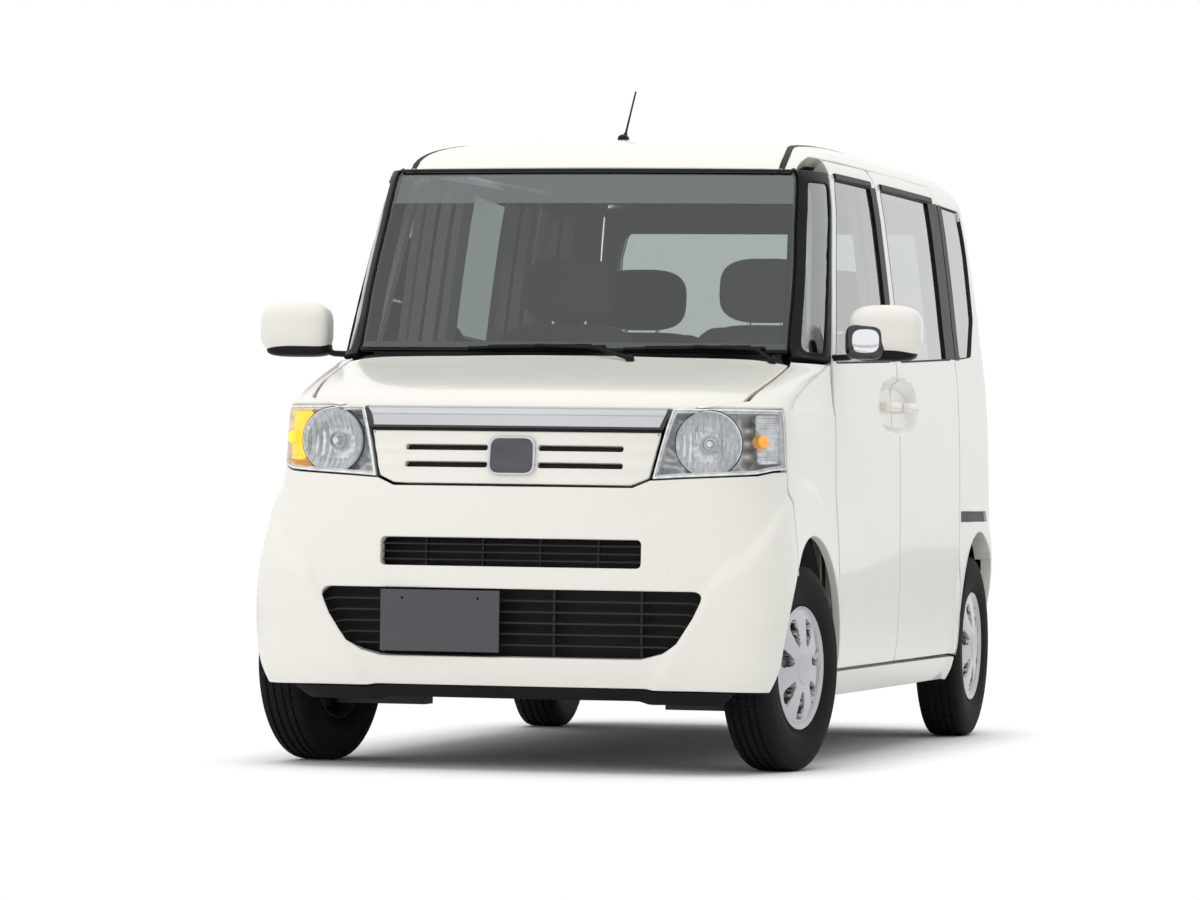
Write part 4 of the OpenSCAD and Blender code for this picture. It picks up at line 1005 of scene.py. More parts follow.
def bumpers():
    half = front([(0.0, 0.766), (0.330, 0.766), (0.378, 0.787)])
    half += front([(0.383, 0.7865), (0.650, 0.802)])
    half += [nose.x(1.50, 0.811), nose.x(1.433, 0.8135), nose.x(1.4315, 0.806)]
    half += side_line((1.430, 0.795), SPLIT[0], n=12)
    half += arch(FRONT_AXLE, 44.5, 0.0, n=20)
    half += side([(1.5825, 0.2255)])
    half += [(u, 0.2255) for u in np.linspace(nose.x(1.5825, 0.2255)[0], 0.0, 14)[1:]]
    out = half[:-1] + [(0.0, 0.2255)] + [(-u, z) for u, z in half[-2:0:-1]]
    upper = front(dense(rounded([(-0.358, 0.551), (0.358, 0.551), (0.358, 0.623), (-0.358, 0.623)], 0.012), 0.03))
    low = [(0.530, 0.487), (0.500, 0.420), (0.455, 0.350), (0.415, 0.322), (0.360, 0.308)]
    low = low + [(-y, z) for y, z in low[::-1]]
    lower = front(dense(rounded(low, 0.02), 0.03))
    ob = panel("bumper_skin", nose, out, [upper, lower], thick=0.030, step=0.014, inner=True, edge=0.004)
    finish_piece(ob, "body", (PAINT, STEEL), ["front_bumper"])
    cap = front(dense(rounded([(0.388, 0.523), (0.436, 0.523), (0.436, 0.571), (0.388, 0.571)], 0.012), 0.02))
    ob = panel("towing_eye_cover", nose, cap, depth=-0.0006, edge=0.0012, thick=0.002, step=0.02, gap=0)
    finish_piece(ob, "body", (PAINT,))
    slats = []
    for z, d, h in [(0.566, 0.020, 0.0045), (0.587, 0.020, 0.0045), (0.608, 0.020, 0.0045)]:
        path = [nose.y(y, z) for y in np.linspace(-0.362, 0.362, 40)]
        slats.append(strip("slat", nose, path, 0.045, -d, h))
    for z in (0.338, 0.368, 0.398, 0.428, 0.458):
        reach = float(np.interp(z, [0.308, 0.350, 0.42, 0.487], [0.37, 0.455, 0.50, 0.53]))
        path = [nose.y(y, z) for y in np.linspace(-reach, reach, 50)]
        slats.append(strip("slat", nose, path, 0.055, -0.022, 0.0055))
    for y in (-0.24, -0.08, 0.08, 0.24):
        path = [nose.y(y, z) for z in np.linspace(0.545, 0.628, 6)]
        slats.append(strip("slat", nose, path, 0.050, -0.030, 0.006))
        path = [nose.y(y * 1.5, z) for z in np.linspace(0.305, 0.490, 8)]
        slats.append(strip("slat", nose, path, 0.060, -0.034, 0.008))
    ob = joined("intake_slats", [wear(s, RUBBER) for s in slats])
    place(ob, "body", ["intake_grille"])
    for name, y, z0, z1 in (("upper_intake_backing", 0.42, 0.53, 0.65), ("lower_intake_backing", 0.58, 0.28, 0.52)):
        shape = front(dense([(-y, z0), (y, z0), (y, z1), (-y, z1)], 0.04))
        ob = panel(name, nose, shape, depth=0.075, edge=0.001, thick=0.004, step=0.06, gap=0)
        finish_piece(ob, "body", (RUBBER,))
    reach = nose.y(0.600, 0.205)[0]
    shape = rounded([(-reach, 0.1825), (reach, 0.1825), (reach, 0.2225), (-reach, 0.2225)], 0.008)
    ob = panel("chin_spoiler", nose, shape, depth=0.012, thick=0.02, step=0.04)
    finish_piece(ob, "body", (TRIM,), ["front_skirt"])
    # rear bumper
    half = [tail.x(-1.500, 0.548), tail.x(-1.500, 0.6325)]
    half += [(u, 0.6325) for u in np.linspace(half[-1][0], 0, 12)[1:]]
    low = [(u, 0.2355) for u in np.linspace(0, tail.x(-1.6075, 0.2355)[0], 12)]
    low += arch(REAR_AXLE, 180, 132.9, surf=tail, n=20)
    out = half + low[1:]
    out = [p for p in half if p[0] > 1e-6] + [(0, 0.6325)] + [(-u, z) for u, z in half[::-1] if u > 1e-6]
    out += [(-u, z) for u, z in low[::-1] if u > 1e-6] + [(0, 0.2355)] + [p for p in low if p[0] > 1e-6]
    ob = panel("rear_bumper_skin", tail, out, thick=0.03, step=0.025, inner=True, edge=0.004)
    finish_piece(ob, "body", (PAINT, STEEL), ["rear_bumper"])
    plate = rear(dense(rounded([(-0.165, 0.470), (0.165, 0.470), (0.165, 0.600), (-0.165, 0.600)], 0.01), 0.03))
    ob = panel("rear_plate_place", tail, plate, depth=-0.002, edge=0.001, thick=0.003, step=0.05, gap=0)
    finish_piece(ob, "body", (PLATE,))


doors()
sashes()
quarters()
fenders()
hood()
roof()
tailgate()
bumpers()


# ---------------------------------------------------------------- nose
LAMP_SIDE_X = 1.437


def lamp_outline(grow=0.0):
    lo = front([(0.386 - grow, 0.7915 - grow), (0.650, 0.8075 - grow)])
    lo += [nose.x(1.50, 0.8165 - grow), nose.x(LAMP_SIDE_X - grow, 0.8195 - grow)]
    hi = 0.9765 + grow
    edge = side_line((LAMP_SIDE_X - grow, 0.825), (LAMP_SIDE_X - grow, hi), n=8) + side([(LAMP_SIDE_X - grow, hi)])
    end = nose.y(0.431 - grow, hi)[0]
    top = [(u, hi) for u in np.linspace(edge[-1][0], end, 14)[1:]]
    return lo + edge + top


def slab(name, lo, hi, bevel, segments=3):
    bm = bmesh.new()
    bmesh.ops.create_cube(bm, size=1)
    for v in bm.verts:
        v.co = Vector([lo[i] + (hi[i] - lo[i]) * (v.co[i] + 0.5) for i in range(3)])
    bmesh.ops.bevel(bm, geom=bm.edges[:], offset=bevel, segments=segments, profile=0.5, affect="EDGES")
    mesh = bpy.data.meshes.new(name)
    bm.to_mesh(mesh)
    bm.free()
    mesh.shade_smooth()
    ob = bpy.data.objects.new(name, mesh)
    bpy.context.scene.collection.objects.link(ob)
    return fix_normals(ob, 50)


def headlamps():
    cy, cz = 0.522, 0.883
    aim = Vector((1, 0.12, 0)).normalized()
    for word, s in SIDES.items():
        lens = panel("lens", nose, lamp_outline(), edge=0.005, thick=0.006, step=0.016, gap=0.0012)
        rim = panel("rim", nose, lamp_outline(0.0022), [lamp_outline(-0.004)], depth=0.002, edge=0.001,
                    thick=0.012, step=0.03, gap=0.0)
        wall = panel("wall", nose, lamp_outline(-0.003), [lamp_outline(-0.009)], depth=0.008, edge=0.001, thick=0.075,
                     step=0.03, gap=0.0)
        back = panel("back", nose, lamp_outline(-0.004), depth=0.070, edge=0.001, thick=0.003, step=0.02, gap=0.0,
                     relief=lambda uv: 0.004 * np.sin(uv[:, 0] * 260))
        dress(lens, LENS)
        dress(rim, LAMP_SILVER)
        dress(wall, LAMP_SILVER)
        dress(back, LAMP_SILVER)
        obs = [lens, rim, wall, back]
        if s < 0:
            obs = [flipped(o, o.name) for o in obs]
            for o in (lens, rim, wall, back):
                bpy.data.objects.remove(o)
        centre = Vector((1.592, s * cy, cz))
        axis = Vector((aim.x, s * aim.y, 0))
        bowl = [(-0.062 + 0.062 * (r / 0.085) ** 2, r) for r in np.linspace(0.012, 0.085, 18)]

        def flutes(h, r, t, k):
            return h + 0.0022 * math.sin(s * r * math.sin(t) * 420) * (r > 0.02), r

        obs.append(wear(fix_normals(lathe("bowl", bowl, centre, axis, n=96, shift=flutes), 60), LAMP_METAL))
        ring = [(0.000, 0.0845), (0.005, 0.0855), (0.006, 0.0875), (0.003, 0.0895), (-0.004, 0.0900)]
        obs.append(wear(fix_normals(lathe("ring", ring, centre, axis), 60), CHROME))
        ring = [(0.000, 0.0902), (0.002, 0.0908), (0.001, 0.0918), (-0.004, 0.0922)]
        obs.append(wear(fix_normals(lathe("dark_ring", ring, centre, axis), 60), GLOSS_BLACK))
        bulb = [(-0.06, 0.016), (-0.034, 0.016), (-0.03, 0.011), (-0.014, 0.010), (-0.009, 0.007), (-0.007, 0.0)]
        obs.append(wear(fix_normals(lathe("bulb", bulb, centre, axis, n=32), 40), CHROME))
        cap = [(-0.028, 0.024), (-0.024, 0.0235), (-0.022, 0.018), (-0.030, 0.017)]
        obs.append(wear(fix_normals(lathe("collar", cap, centre, axis, n=48), 40), SATIN))
        place_ = Vector((1.524, s * 0.655, 0.890))
        cone = [(-0.030, 0.018), (-0.012, 0.020), (0.0, 0.018), (0.010, 0.013), (0.014, 0.0)]

        def ribs(h, r, t, k):
            return h, r * (1 + 0.05 * math.sin(16 * t))

        lit = AMBER if s > 0 else AMBER_LIT
        turn = lathe("signal", cone, place_, (0.8, s * 0.6, 0), n=64, shift=ribs)
        obs.append(wear(fix_normals(turn, 60), lit))
        fore = 0.648 if s > 0 else 0.612
        u0, u1 = nose.y(fore, 0.89)[0], nose.x(1.4445, 0.89)[0]
        reach = rounded([(u0 + 0.006, 0.832), (u1, 0.834), (u1, 0.966), (u0, 0.966)], 0.012)
        inner = panel("signal_back", nose, reach, depth=0.016, edge=0.002, thick=0.003, step=0.008, gap=0.0,
                      relief=lambda uv: 0.003 * np.sin(uv[:, 1] * 420))
        dress(inner, AMBER_LIT if s < 0 else LAMP_SILVER)
        if s < 0:
            keep = flipped(inner, "signal_back")
            bpy.data.objects.remove(inner)
            inner = keep
        obs.append(inner)
        names = ("lens", "rim", "wall", "back", "bowl", "ring", "dark_ring", "bulb", "collar", "signal",
                 "signal_back")
        for o, n in zip(obs, names):
            o.name = f"headlamp_{n}_{word}"
            place(o, "body")
        if s > 0:
            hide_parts("headlamps")


def grille():
    shape = [(-0.330, 0.769), (0.330, 0.769), (0.376, 0.790), (0.404, 0.9145), (-0.404, 0.9145), (-0.376, 0.790)]
    out = front(dense(rounded(shape, [0.02, 0.02, 0.012, 0.006, 0.006, 0.012]), 0.03))
    slots = []
    for z in (0.822, 0.868):
        for s in (1, -1):
            a, b = sorted((s * 0.072, s * 0.300))
            slots.append(front(dense(rounded([(a, z - 0.0055), (b, z - 0.0055), (b, z + 0.0055), (a, z + 0.0055)],
                                             0.005), 0.02)))

    def ridges(uv):
        side_part = smooth_step((np.abs(uv[:, 0]) - 0.29) / 0.05)
        wave = 0.5 - 0.5 * np.cos((uv[:, 1] - 0.775) * 2 * math.pi / 0.046)
        return 0.0035 * wave * (0.35 + 0.65 * side_part)

    ob = panel("grille_cover", nose, out, slots, depth=0.004, edge=0.004, thick=0.02, step=0.010, relief=ridges)
    finish_piece(ob, "body", (PAINT,), ["radiator_grille"])
    behind = front(dense([(-0.36, 0.785), (0.36, 0.785), (0.38, 0.90), (-0.38, 0.90)], 0.04))
    ob = panel("grille_backing", nose, behind, depth=0.034, edge=0.001, thick=0.004, step=0.05, gap=0)
    finish_piece(ob, "body", (RUBBER,))
    shape = front(dense(rounded([(-0.066, 0.793), (0.066, 0.793), (0.064, 0.898), (-0.064, 0.898)], 0.028), 0.01))
    hole = front(dense(rounded([(-0.059, 0.800), (0.059, 0.800), (0.057, 0.891), (-0.057, 0.891)], 0.024), 0.01))
    ob = panel("badge_ring", nose, shape, [hole], depth=-0.008, edge=0.004, thick=0.014, step=0.01, gap=0)
    finish_piece(ob, "body", (BAR_CHROME,))
    ob = panel("badge_blank", nose, hole, depth=-0.002, edge=0.001, thick=0.004, step=0.01, gap=-0.003,
               relief=lambda uv: -0.003 * np.cos(np.clip(np.hypot(uv[:, 0], uv[:, 1] - 0.8455) / 0.06, 0, 1.5)))
    finish_piece(ob, "body", (DARK_CHROME,))
    out = front(dense([(-0.4035, 0.9195), (0.4035, 0.9195), (0.4255, 0.9755), (-0.4255, 0.9755)], 0.03))

    def hollow(uv):
        t = (uv[:, 1] - 0.9195) / 0.056
        return 0.010 * np.sin(np.clip(t, 0, 1) * math.pi) - 0.004

    ob = panel("chrome_garnish", nose, out, depth=-0.001, edge=0.003, thick=0.02, step=0.009, relief=hollow)
    finish_piece(ob, "body", (BAR_CHROME,), ["chrome_bar"])
    path = [nose.y(y, 0.9225) for y in np.linspace(-0.402, 0.402, 50)]
    obs = [strip("lip", nose, path, 0.004, 0.0025, 0.008)]
    for s in SIDES.values():
        path = [nose.y(s * (0.400 + 0.022 * k / 6), 0.922 + 0.052 * k / 6) for k in range(7)]
        obs.append(strip("lip", nose, path, 0.004, 0.0028, 0.013))
    ob = joined("garnish_dark_edge", [wear(o, GLOSS_BLACK) for o in obs])
    place(ob, "body")
    ob = panel("garnish_shadow_gap", nose, front(dense([(-0.400, 0.905), (0.400, 0.905), (0.404, 0.925),
                                                        (-0.404, 0.925)], 0.04)),
               depth=0.010, edge=0.001, thick=0.01, step=0.04, gap=0)
    finish_piece(ob, "body", (RUBBER,))


def windshield():
    def ring(z0, z1, trim):
        zs = np.linspace(z0, z1, 24)
        right = [(windshield_u(z) - trim, z) for z in zs]
        return rounded(right, 0) + [(-u, z) for u, z in right[::-1]]

    out = ring(1.1385, 1.6610, 0.003)
    clear = ring(1.170, 1.645, 0.011)
    ob = panel("windshield_pane", nose, out, depth=0.0015, edge=0.0008, thick=0.004, step=0.03, gap=0.001)
    finish_piece(ob, "body", (WINDSHIELD,), ["windshield"])
    ob = panel("windshield_border", nose, out, [clear], depth=0.0075, edge=0.0006, thick=0.002, step=0.04, gap=0.001)
    finish_piece(ob, "body", (GLOSS_BLACK,))
    ob = panel("windshield_frame", nose, ring(1.1385, 1.6610, 0.003), [ring(1.150, 1.652, 0.008)], depth=-0.001,
               edge=0.0008, thick=0.002, step=0.05, gap=0.001)
    finish_piece(ob, "body", (TRIM,))
    band = ring(1.565, 1.646, 0.010)
    ob = panel("windshield_shade_band", nose, band, depth=0.0078, edge=0.0004, thick=0.0006, step=0.05, gap=0.0)
    finish_piece(ob, "body", (SHADE_BAND,))
    obs = []
    for (a, b), pivot in (((-0.280, 0.115), 0.205), ((0.165, 0.556), 0.585)):
        zs = lambda y: 1.1435 + 0.006 * (y - a) / (b - a)
        path = [nose.y(y, zs(y)) for y in np.linspace(a, b, 30)]
        obs.append(strip("blade", nose, path, -0.001, 0.010, 0.009))
        path = [nose.y(y, zs(y) - 0.001) for y in np.linspace(a + 0.06, b - 0.04, 24)]
        obs.append(strip("spine", nose, path, -0.009, 0.017, 0.012))
        mid = 0.5 * (a + b)
        arm = [nose.at([nose.y(y, z)], -h)[0][0] for y, z, h in
               ((mid, 1.146, 0.018), (mid + 0.08, 1.141, 0.024), (b - 0.02, 1.128, 0.022), (pivot, 1.112, 0.006))]
        obs.append(tube("arm", arm, 0.0055, n=10))
        cap = lathe("cap", [(-0.01, 0.012), (0.006, 0.012), (0.010, 0.008), (0.011, 0.0)], arm[-1], (0.3, 0, 1), n=24)
        obs.append(fix_normals(cap, 50))
    ob = joined("wiper_set", [wear(o, TRIM) for o in obs])
    place(ob, "body", ["wipers"])


def mirrors():
    for word, s in SIDES.items():
        body = "front_door_" + word
        y, w = s * 0.8525, 0.206
        c = (0.858, y, 1.203)

        def taper(x, y, z):
            return x * (1 - 0.25 * smooth_step((abs(z) - 0.03) / 0.06)), y, z + 0.004 * math.cos(y * 14)

        shell = wear(pad("shell", c, (0.100, w, 0.146), 3.6, shape=taper), PAINT)
        low = wear(pad("low", (0.852, y - s * 0.006, 1.148), (0.094, w - 0.020, 0.050), 3.5), TRIM)
        if s > 0:
            corner = wear(pad("corner", (0.888, s * 0.802, 1.176), (0.050, 0.112, 0.098), 4.0), GLOSS_BLACK)
            lens = wear(pad("lens", (0.910, s * 0.806, 1.178), (0.012, 0.078, 0.066), 3.0), CHROME)
        glass_ = wear(slab("glass", (0.803, y - w / 2 + 0.018, 1.148), (0.809, y + w / 2 - 0.018, 1.256), 0.0025),
                      CHROME)
        foot = wear(tube("foot", [(0.838, s * 0.672, 1.128), (0.842, s * 0.700, 1.132), (0.846, s * 0.745, 1.134),
                                  (0.850, s * 0.790, 1.150)], [0.016, 0.015, 0.014, 0.017], flat=0.62), TRIM)
        parts = [(shell, "shell", "paint"), (low, "base", "black_plastic"), (glass_, "glass", "chrome"),
                 (foot, "foot", "black_plastic")]
        if s > 0:
            parts += [(corner, "corner", "black_plastic"), (lens, "side_lens", "chrome")]
        for o, n, slot in parts:
            o.name = f"mirror_{n}_{word}"
            place(o, body, ["mirror_" + word] if n == "shell" else [])


def handles():
    for word, s in SIDES.items():
        for x0, x1, body, node in ((0.052, 0.248, "front_door_" + word, "front_handle_" + word),
                                   (-0.206, -0.014, "body", "door_handles")):
            y0, y1 = 0.716, 0.7425
            path = [(x0 + 0.012, s * y0, 1.0075), (x0 + 0.008, s * (y1 - 0.008), 1.0075),
                    (x0 + 0.022, s * (y1 - 0.001), 1.0075)]
            path += [(x, s * y1, 1.0075) for x in np.linspace(x0 + 0.04, x1 - 0.04, 8)]
            path += [(x1 - 0.022, s * (y1 - 0.001), 1.0075), (x1 - 0.008, s * (y1 - 0.008), 1.0075),
                     (x1 - 0.012, s * y0, 1.0075)]
            ob = wear(tube("grip", path, 0.0062, n=20, flat=2.2), PAINT)
            ob.name = ("front_pull_handle_" if body != "body" else "sliding_pull_handle_") + word
            nodes = [] if node == "door_handles" and s < 0 else [node]
            place(ob, body, nodes)


# ---------------------------------------------------------------- wheels
def wheel_places():
    a = math.radians(9.5)
    for word, s in SIDES.items():
        yield "front_" + word, Vector((1.2475 + s * 0.0103, s * 0.6516, 0.281)), \
            Vector((s * math.sin(a), s * math.cos(a), 0))
        yield "rear_" + word, Vector((-1.2725, s * 0.6525, 0.281)), Vector((0, s, 0))


def wheel_window(r, t):
    """Depth, from 0 to 1, of the seven openings in a wheel cover at radius r and angle t."""
    reach = (r - 0.103) / 0.036
    turn = (abs((7 * t / (2 * math.pi)) % 1 - 0.5)) / (0.155 + 0.9 * (r - 0.065))
    return float(1 - smooth_step((abs(reach) ** 3.5 + turn ** 3.5 - 0.75) / 0.45))


def wheels():
    tread = [(-0.050, 0.166), (-0.059, 0.170), (-0.0625, 0.1755), (-0.0615, 0.1785), (-0.0665, 0.190),
             (-0.0705, 0.205), (-0.0722, 0.222), (-0.0706, 0.236), (-0.0712, 0.239), (-0.0690, 0.248),
             (-0.0655, 0.2600), (-0.061, 0.270), (-0.0575, 0.2745), (-0.055, 0.2765), (-0.047, 0.2795)]
    rows = []
    for h in (-0.034, -0.012, 0.012, 0.034):
        rows += [(h - 0.0042, 0.2808), (h - 0.0036, 0.2745), (h + 0.0036, 0.2745), (h + 0.0042, 0.2808)]
    profile = tread + rows + [(-h, r) for h, r in tread[::-1]]

    def blocks(h, r, t, k):
        if 13 < k < len(profile) - 14 and r > 0.276:
            cell = (t * 72 / (2 * math.pi) + 6 * abs(h)) % 1
            return h, r - (0.0035 if cell < 0.22 else 0)
        if r < 0.262 and abs(h) > 0.066:
            return h * (1 + 0.004 * math.sin(180 * t)), r
        return h, r

    for word, c, axis in wheel_places():
        body = "wheel_" + word
        ob = wear(fix_normals(lathe("tyre_body_" + word, profile, c, axis, n=432, shift=blocks), 32), TYRE)
        place(ob, body, ["tyre_" + word])
        def spokes(h, r, t, k):
            return h - 0.018 * wheel_window(r, t) + 0.003 * (1 - smooth_step((r - 0.040) / 0.008)), r

        profile_c = [(0.070, 0.0)] + [(0.070 - 0.016 * (r / 0.160) ** 2.4, r) for r in np.linspace(0.006, 0.158, 60)]
        profile_c += [(0.056, 0.1605), (0.060, 0.1635), (0.062, 0.1660), (0.061, 0.1675), (0.050, 0.1680)]
        ob = lathe("wheel_cover_" + word, profile_c, c, axis, n=280, shift=spokes)
        ob.data.materials.append(SATIN)
        ob.data.materials.append(GLOSS_BLACK)
        up = (Vector((0, 0, 1)) - axis * axis.z).normalized()
        kinds = []
        for p in ob.data.polygons:
            v = p.center - c
            v -= axis * v.dot(axis)
            kinds.append(int(wheel_window(v.length, math.atan2(v.dot(axis.cross(up)), v.dot(up))) > 0.75))
        ob.data.polygons.foreach_set("material_index", kinds)
        fix_normals(ob, 45)
        place(ob, body, ["wheel_" + word])
        rim = [(0.045, 0.1655), (0.040, 0.160), (0.020, 0.154), (-0.030, 0.152), (-0.045, 0.158), (-0.055, 0.166),
               (-0.057, 0.1625), (-0.045, 0.153), (-0.028, 0.147), (0.005, 0.147), (0.008, 0.10), (0.0, 0.05),
               (-0.004, 0.045), (-0.004, 0.0)]
        ob = wear(fix_normals(lathe("steel_rim_" + word, rim, c, axis, n=96), 40), STEEL)
        place(ob, body)


# ---------------------------------------------------------------- cabin
def seats():
    for word, s in SIDES.items():
        for row, x0, w in (("front", 0.020, 0.500), ("rear", -0.900, 0.560)):
            y = s * 0.300

            def channels(x, y_, z):
                groove = sum(math.exp(-((abs(y_) - g) / 0.007) ** 2) for g in (w * 0.27,))
                across = math.exp(-((x + 0.03) / 0.008) ** 2) * (abs(y_) < w * 0.27)
                z2 = z - 0.006 * (groove + across) * (z > 0)
                crown = 0.020 * smooth_step((abs(y_) - w * 0.26) / 0.05) * (z > 0)
                return x, y_ * (1 - 0.02 * math.cos(x * 9)), z2 + crown

            def back_channels(x, y_, z):
                groove = math.exp(-((abs(y_) - w * 0.25) / 0.007) ** 2)
                across = math.exp(-((z - 0.06) / 0.008) ** 2) * (abs(y_) < w * 0.25)
                side_crown = 0.024 * smooth_step((abs(y_) - w * 0.24) / 0.05) * (x > 0)
                return x - 0.006 * (groove + across) * (x > 0) + side_crown, y_ * (1 - 0.06 * z), z

            cushion = wear(pad("cushion", (x0 + 0.275, y, 0.622), (0.520, w - 0.010, 0.118), 3.6, shape=channels,
                               n=96, m=48), CLOTH)
            back = wear(pad("back", (x0 - 0.048, y, 0.958), (0.100, w - 0.02, 0.600), 3.8, tilt=-0.30,
                            shape=back_channels, n=96, m=64), CLOTH)
            head = wear(pad("head", (x0 - 0.125, y, 1.350), (0.086, 0.280, 0.190), 3.2, tilt=-0.12), CLOTH)
            for o, n in ((cushion, "cushion"), (back, "back"), (head, "headrest")):
                o.name = f"{row}_seat_{n}_{word}"
                place(o, "body")
            if s > 0:
                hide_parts(row + "_seats" if row == "front" else "rear_seat")
            posts = [tube("post", [(x0 - 0.118, y + d, 1.17), (x0 - 0.126, y + d, 1.30)], 0.006) for d in (-0.05, 0.05)]
            base = slab("base", (x0 + 0.09, y - w / 2 + 0.07, 0.335), (x0 + 0.46, y + w / 2 - 0.07, 0.575), 0.012)
            ob = joined(f"{row}_seat_frame_{word}", [wear(p, CHROME) for p in posts] + [wear(base, DARK_LINING)])
            place(ob, "body")


def dashboard():
    def droop(x, y, z):
        return x + 0.03 * math.cos(y * 2.2) - 0.02, y, z - 0.018 * (abs(y) / 0.6) ** 2

    top = wear(pad("dash_top", (0.800, 0, 0.985), (0.240, 1.200, 0.110), 5.0, shape=droop), DARK_LINING)
    low = wear(pad("dash_low", (0.800, 0, 0.860), (0.180, 1.170, 0.230), 6.0, shape=droop), LINING)
    hood_ = wear(pad("meter_hood", (0.745, -0.300, 1.040), (0.150, 0.330, 0.070), 3.2), DARK_LINING)
    console = wear(pad("console", (0.760, 0, 0.790), (0.150, 0.240, 0.430), 5.0), DARK_LINING)
    shelf = wear(slab("screen", (0.690, -0.105, 0.905), (0.704, 0.105, 1.010), 0.004), GLOSS_BLACK)
    vents = []
    for y in (-0.53, -0.155, 0.155, 0.53):
        for k in range(4):
            z = 0.925 + 0.014 * k
            vents.append(wear(slab("vane", (0.692, y - 0.035, z), (0.712, y + 0.035, z + 0.004), 0.0012), TRIM))
    ob = joined("instrument_panel", [top, low, hood_, console, shelf] + vents)
    place(ob, "body", ["dashboard"])
    c = Vector((0.560, -0.300, 0.975))
    axis = Vector((0.883, 0, -0.469))
    up = Vector((0.469, 0, 0.883))
    side_ = Vector((0, 1, 0))
    rim = [c + (up * math.cos(t) + side_ * math.sin(t)) * 0.165 for t in np.linspace(0, 2 * math.pi, 65)[:-1]]
    obs = [wear(tube("rim", rim, 0.0145, n=14, closed=True, up=tuple(axis)), DARK_LINING)]
    for t in (math.pi / 2 + 0.25, -math.pi / 2 - 0.25, math.pi):
        out = up * math.cos(t) + side_ * math.sin(t)
        obs.append(wear(tube("spoke", [c + out * 0.04 + axis * 0.018, c + out * 0.10 + axis * 0.012, c + out * 0.160],
                             [0.018, 0.013, 0.011], flat=0.5, up=tuple(axis)), SATIN))
    hub = pad("hub", tuple(c + axis * 0.012), (0.055, 0.150, 0.125), 2.8, tilt=0.488)
    obs.append(wear(hub, DARK_LINING))
    ob = joined("steering_wheel_rim", obs)
    place(ob, "steering_wheel", ["steering_wheel"])


def body_frame():
    """Inner frame that shows when a door or the tailgate is open."""
    out = side_shape([(-0.965, 0.270), (0.884, 0.270), (0.884, 1.100), (0.860, 1.125), (0.605, 1.655),
                      (0.560, 1.705), (-0.965, 1.705)], 0.02)
    one = side_shape([(0.078, 0.345), (0.840, 0.345), (0.840, 1.075), (0.815, 1.110), (0.575, 1.610), (0.535, 1.650),
                      (0.078, 1.650)], 0.03)
    two = side_shape([(-0.905, 0.345), (-0.038, 0.345), (-0.038, 1.650), (-0.905, 1.650)], 0.03)
    ob = panel("frame", nose, out, [one, two], depth=0.053, edge=0.002, thick=0.022, step=0.04, gap=0.0, inner=True)
    both((dress(ob, PAINT, LINING), "door_frame_left", "body", "paint", []))
    out = rear(dense(rounded([(-0.612, 0.60), (0.612, 0.60), (0.612, 1.25), (0.570, 1.70), (-0.570, 1.70),
                              (-0.612, 1.25)], 0.03), 0.03))
    hole = rear(dense(rounded([(-0.535, 0.655), (0.535, 0.655), (0.540, 1.25), (0.495, 1.635), (-0.495, 1.635),
                               (-0.540, 1.25)], 0.05), 0.03))
    ob = panel("tailgate_frame", tail, out, [hole], depth=0.054, edge=0.002, thick=0.022, step=0.04, gap=0,
               inner=True)
    finish_piece(ob, "body", (PAINT, LINING))


def underside():
    finishes = {"floor_pan": STEEL, "front_bulkhead": TRIM, "inner_wings": STEEL, "engine": CAST,
                "drive_shafts": CAST, "fuel_tank": TRIM, "exhaust": PIPE, "front_subframe": STEEL, "rear_axle": STEEL,
                "knuckle_left": CAST, "knuckle_right": CAST, "front_plate": PLATE}
    for node, mat in finishes.items():
        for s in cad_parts[node].material_slots:
            s.material = mat


def antenna():
    base = Vector((0.300, -0.040, 1.7690))
    lean = Vector((-0.669, 0, 0.743))
    mast = tube("mast", [base + lean * d for d in (0.0, 0.03, 0.035, 0.12, 0.205)],
                [0.007, 0.006, 0.0035, 0.0028, 0.0026], n=12, up=(0, 1, 0))
    foot = pad("foot", tuple(base + Vector((0.006, 0, 0.004))), (0.050, 0.032, 0.030), 2.4)
    ob = joined("roof_antenna", [wear(mast, TRIM), wear(foot, TRIM)])
    place(ob, "body", ["antenna"])


LAMP_METAL = material("lamp_reflector", (0.90, 0.91, 0.93), 0.16, 0.75, vary=0.22, grain=160, bump=0.35, blotch=70)
LAMP_SILVER = material("lamp_silver", (0.86, 0.87, 0.89), 0.24, 0.25, vary=0.22, grain=160, bump=0.35, blotch=45)
BAR_CHROME = material("garnish_chrome", (0.60, 0.61, 0.63), 0.12, 1.0, vary=0.05, grain=300, bump=0.004, blotch=2)
DARK_CHROME = material("dark_badge_blank", (0.10, 0.10, 0.11), 0.2, 0.8, vary=0.2, grain=300, bump=0.02, blotch=12)
AMBER_LIT = material("lit_amber", (1.0, 0.50, 0.03), 0.2, vary=0.2, grain=200, bump=0.2, blotch=30,
                     Emission_Color=(1.0, 0.48, 0.03, 1), Emission_Strength=0.9)
headlamps()
grille()
windshield()
mirrors()
handles()
wheels()
seats()
dashboard()
body_frame()
underside()
antenna()


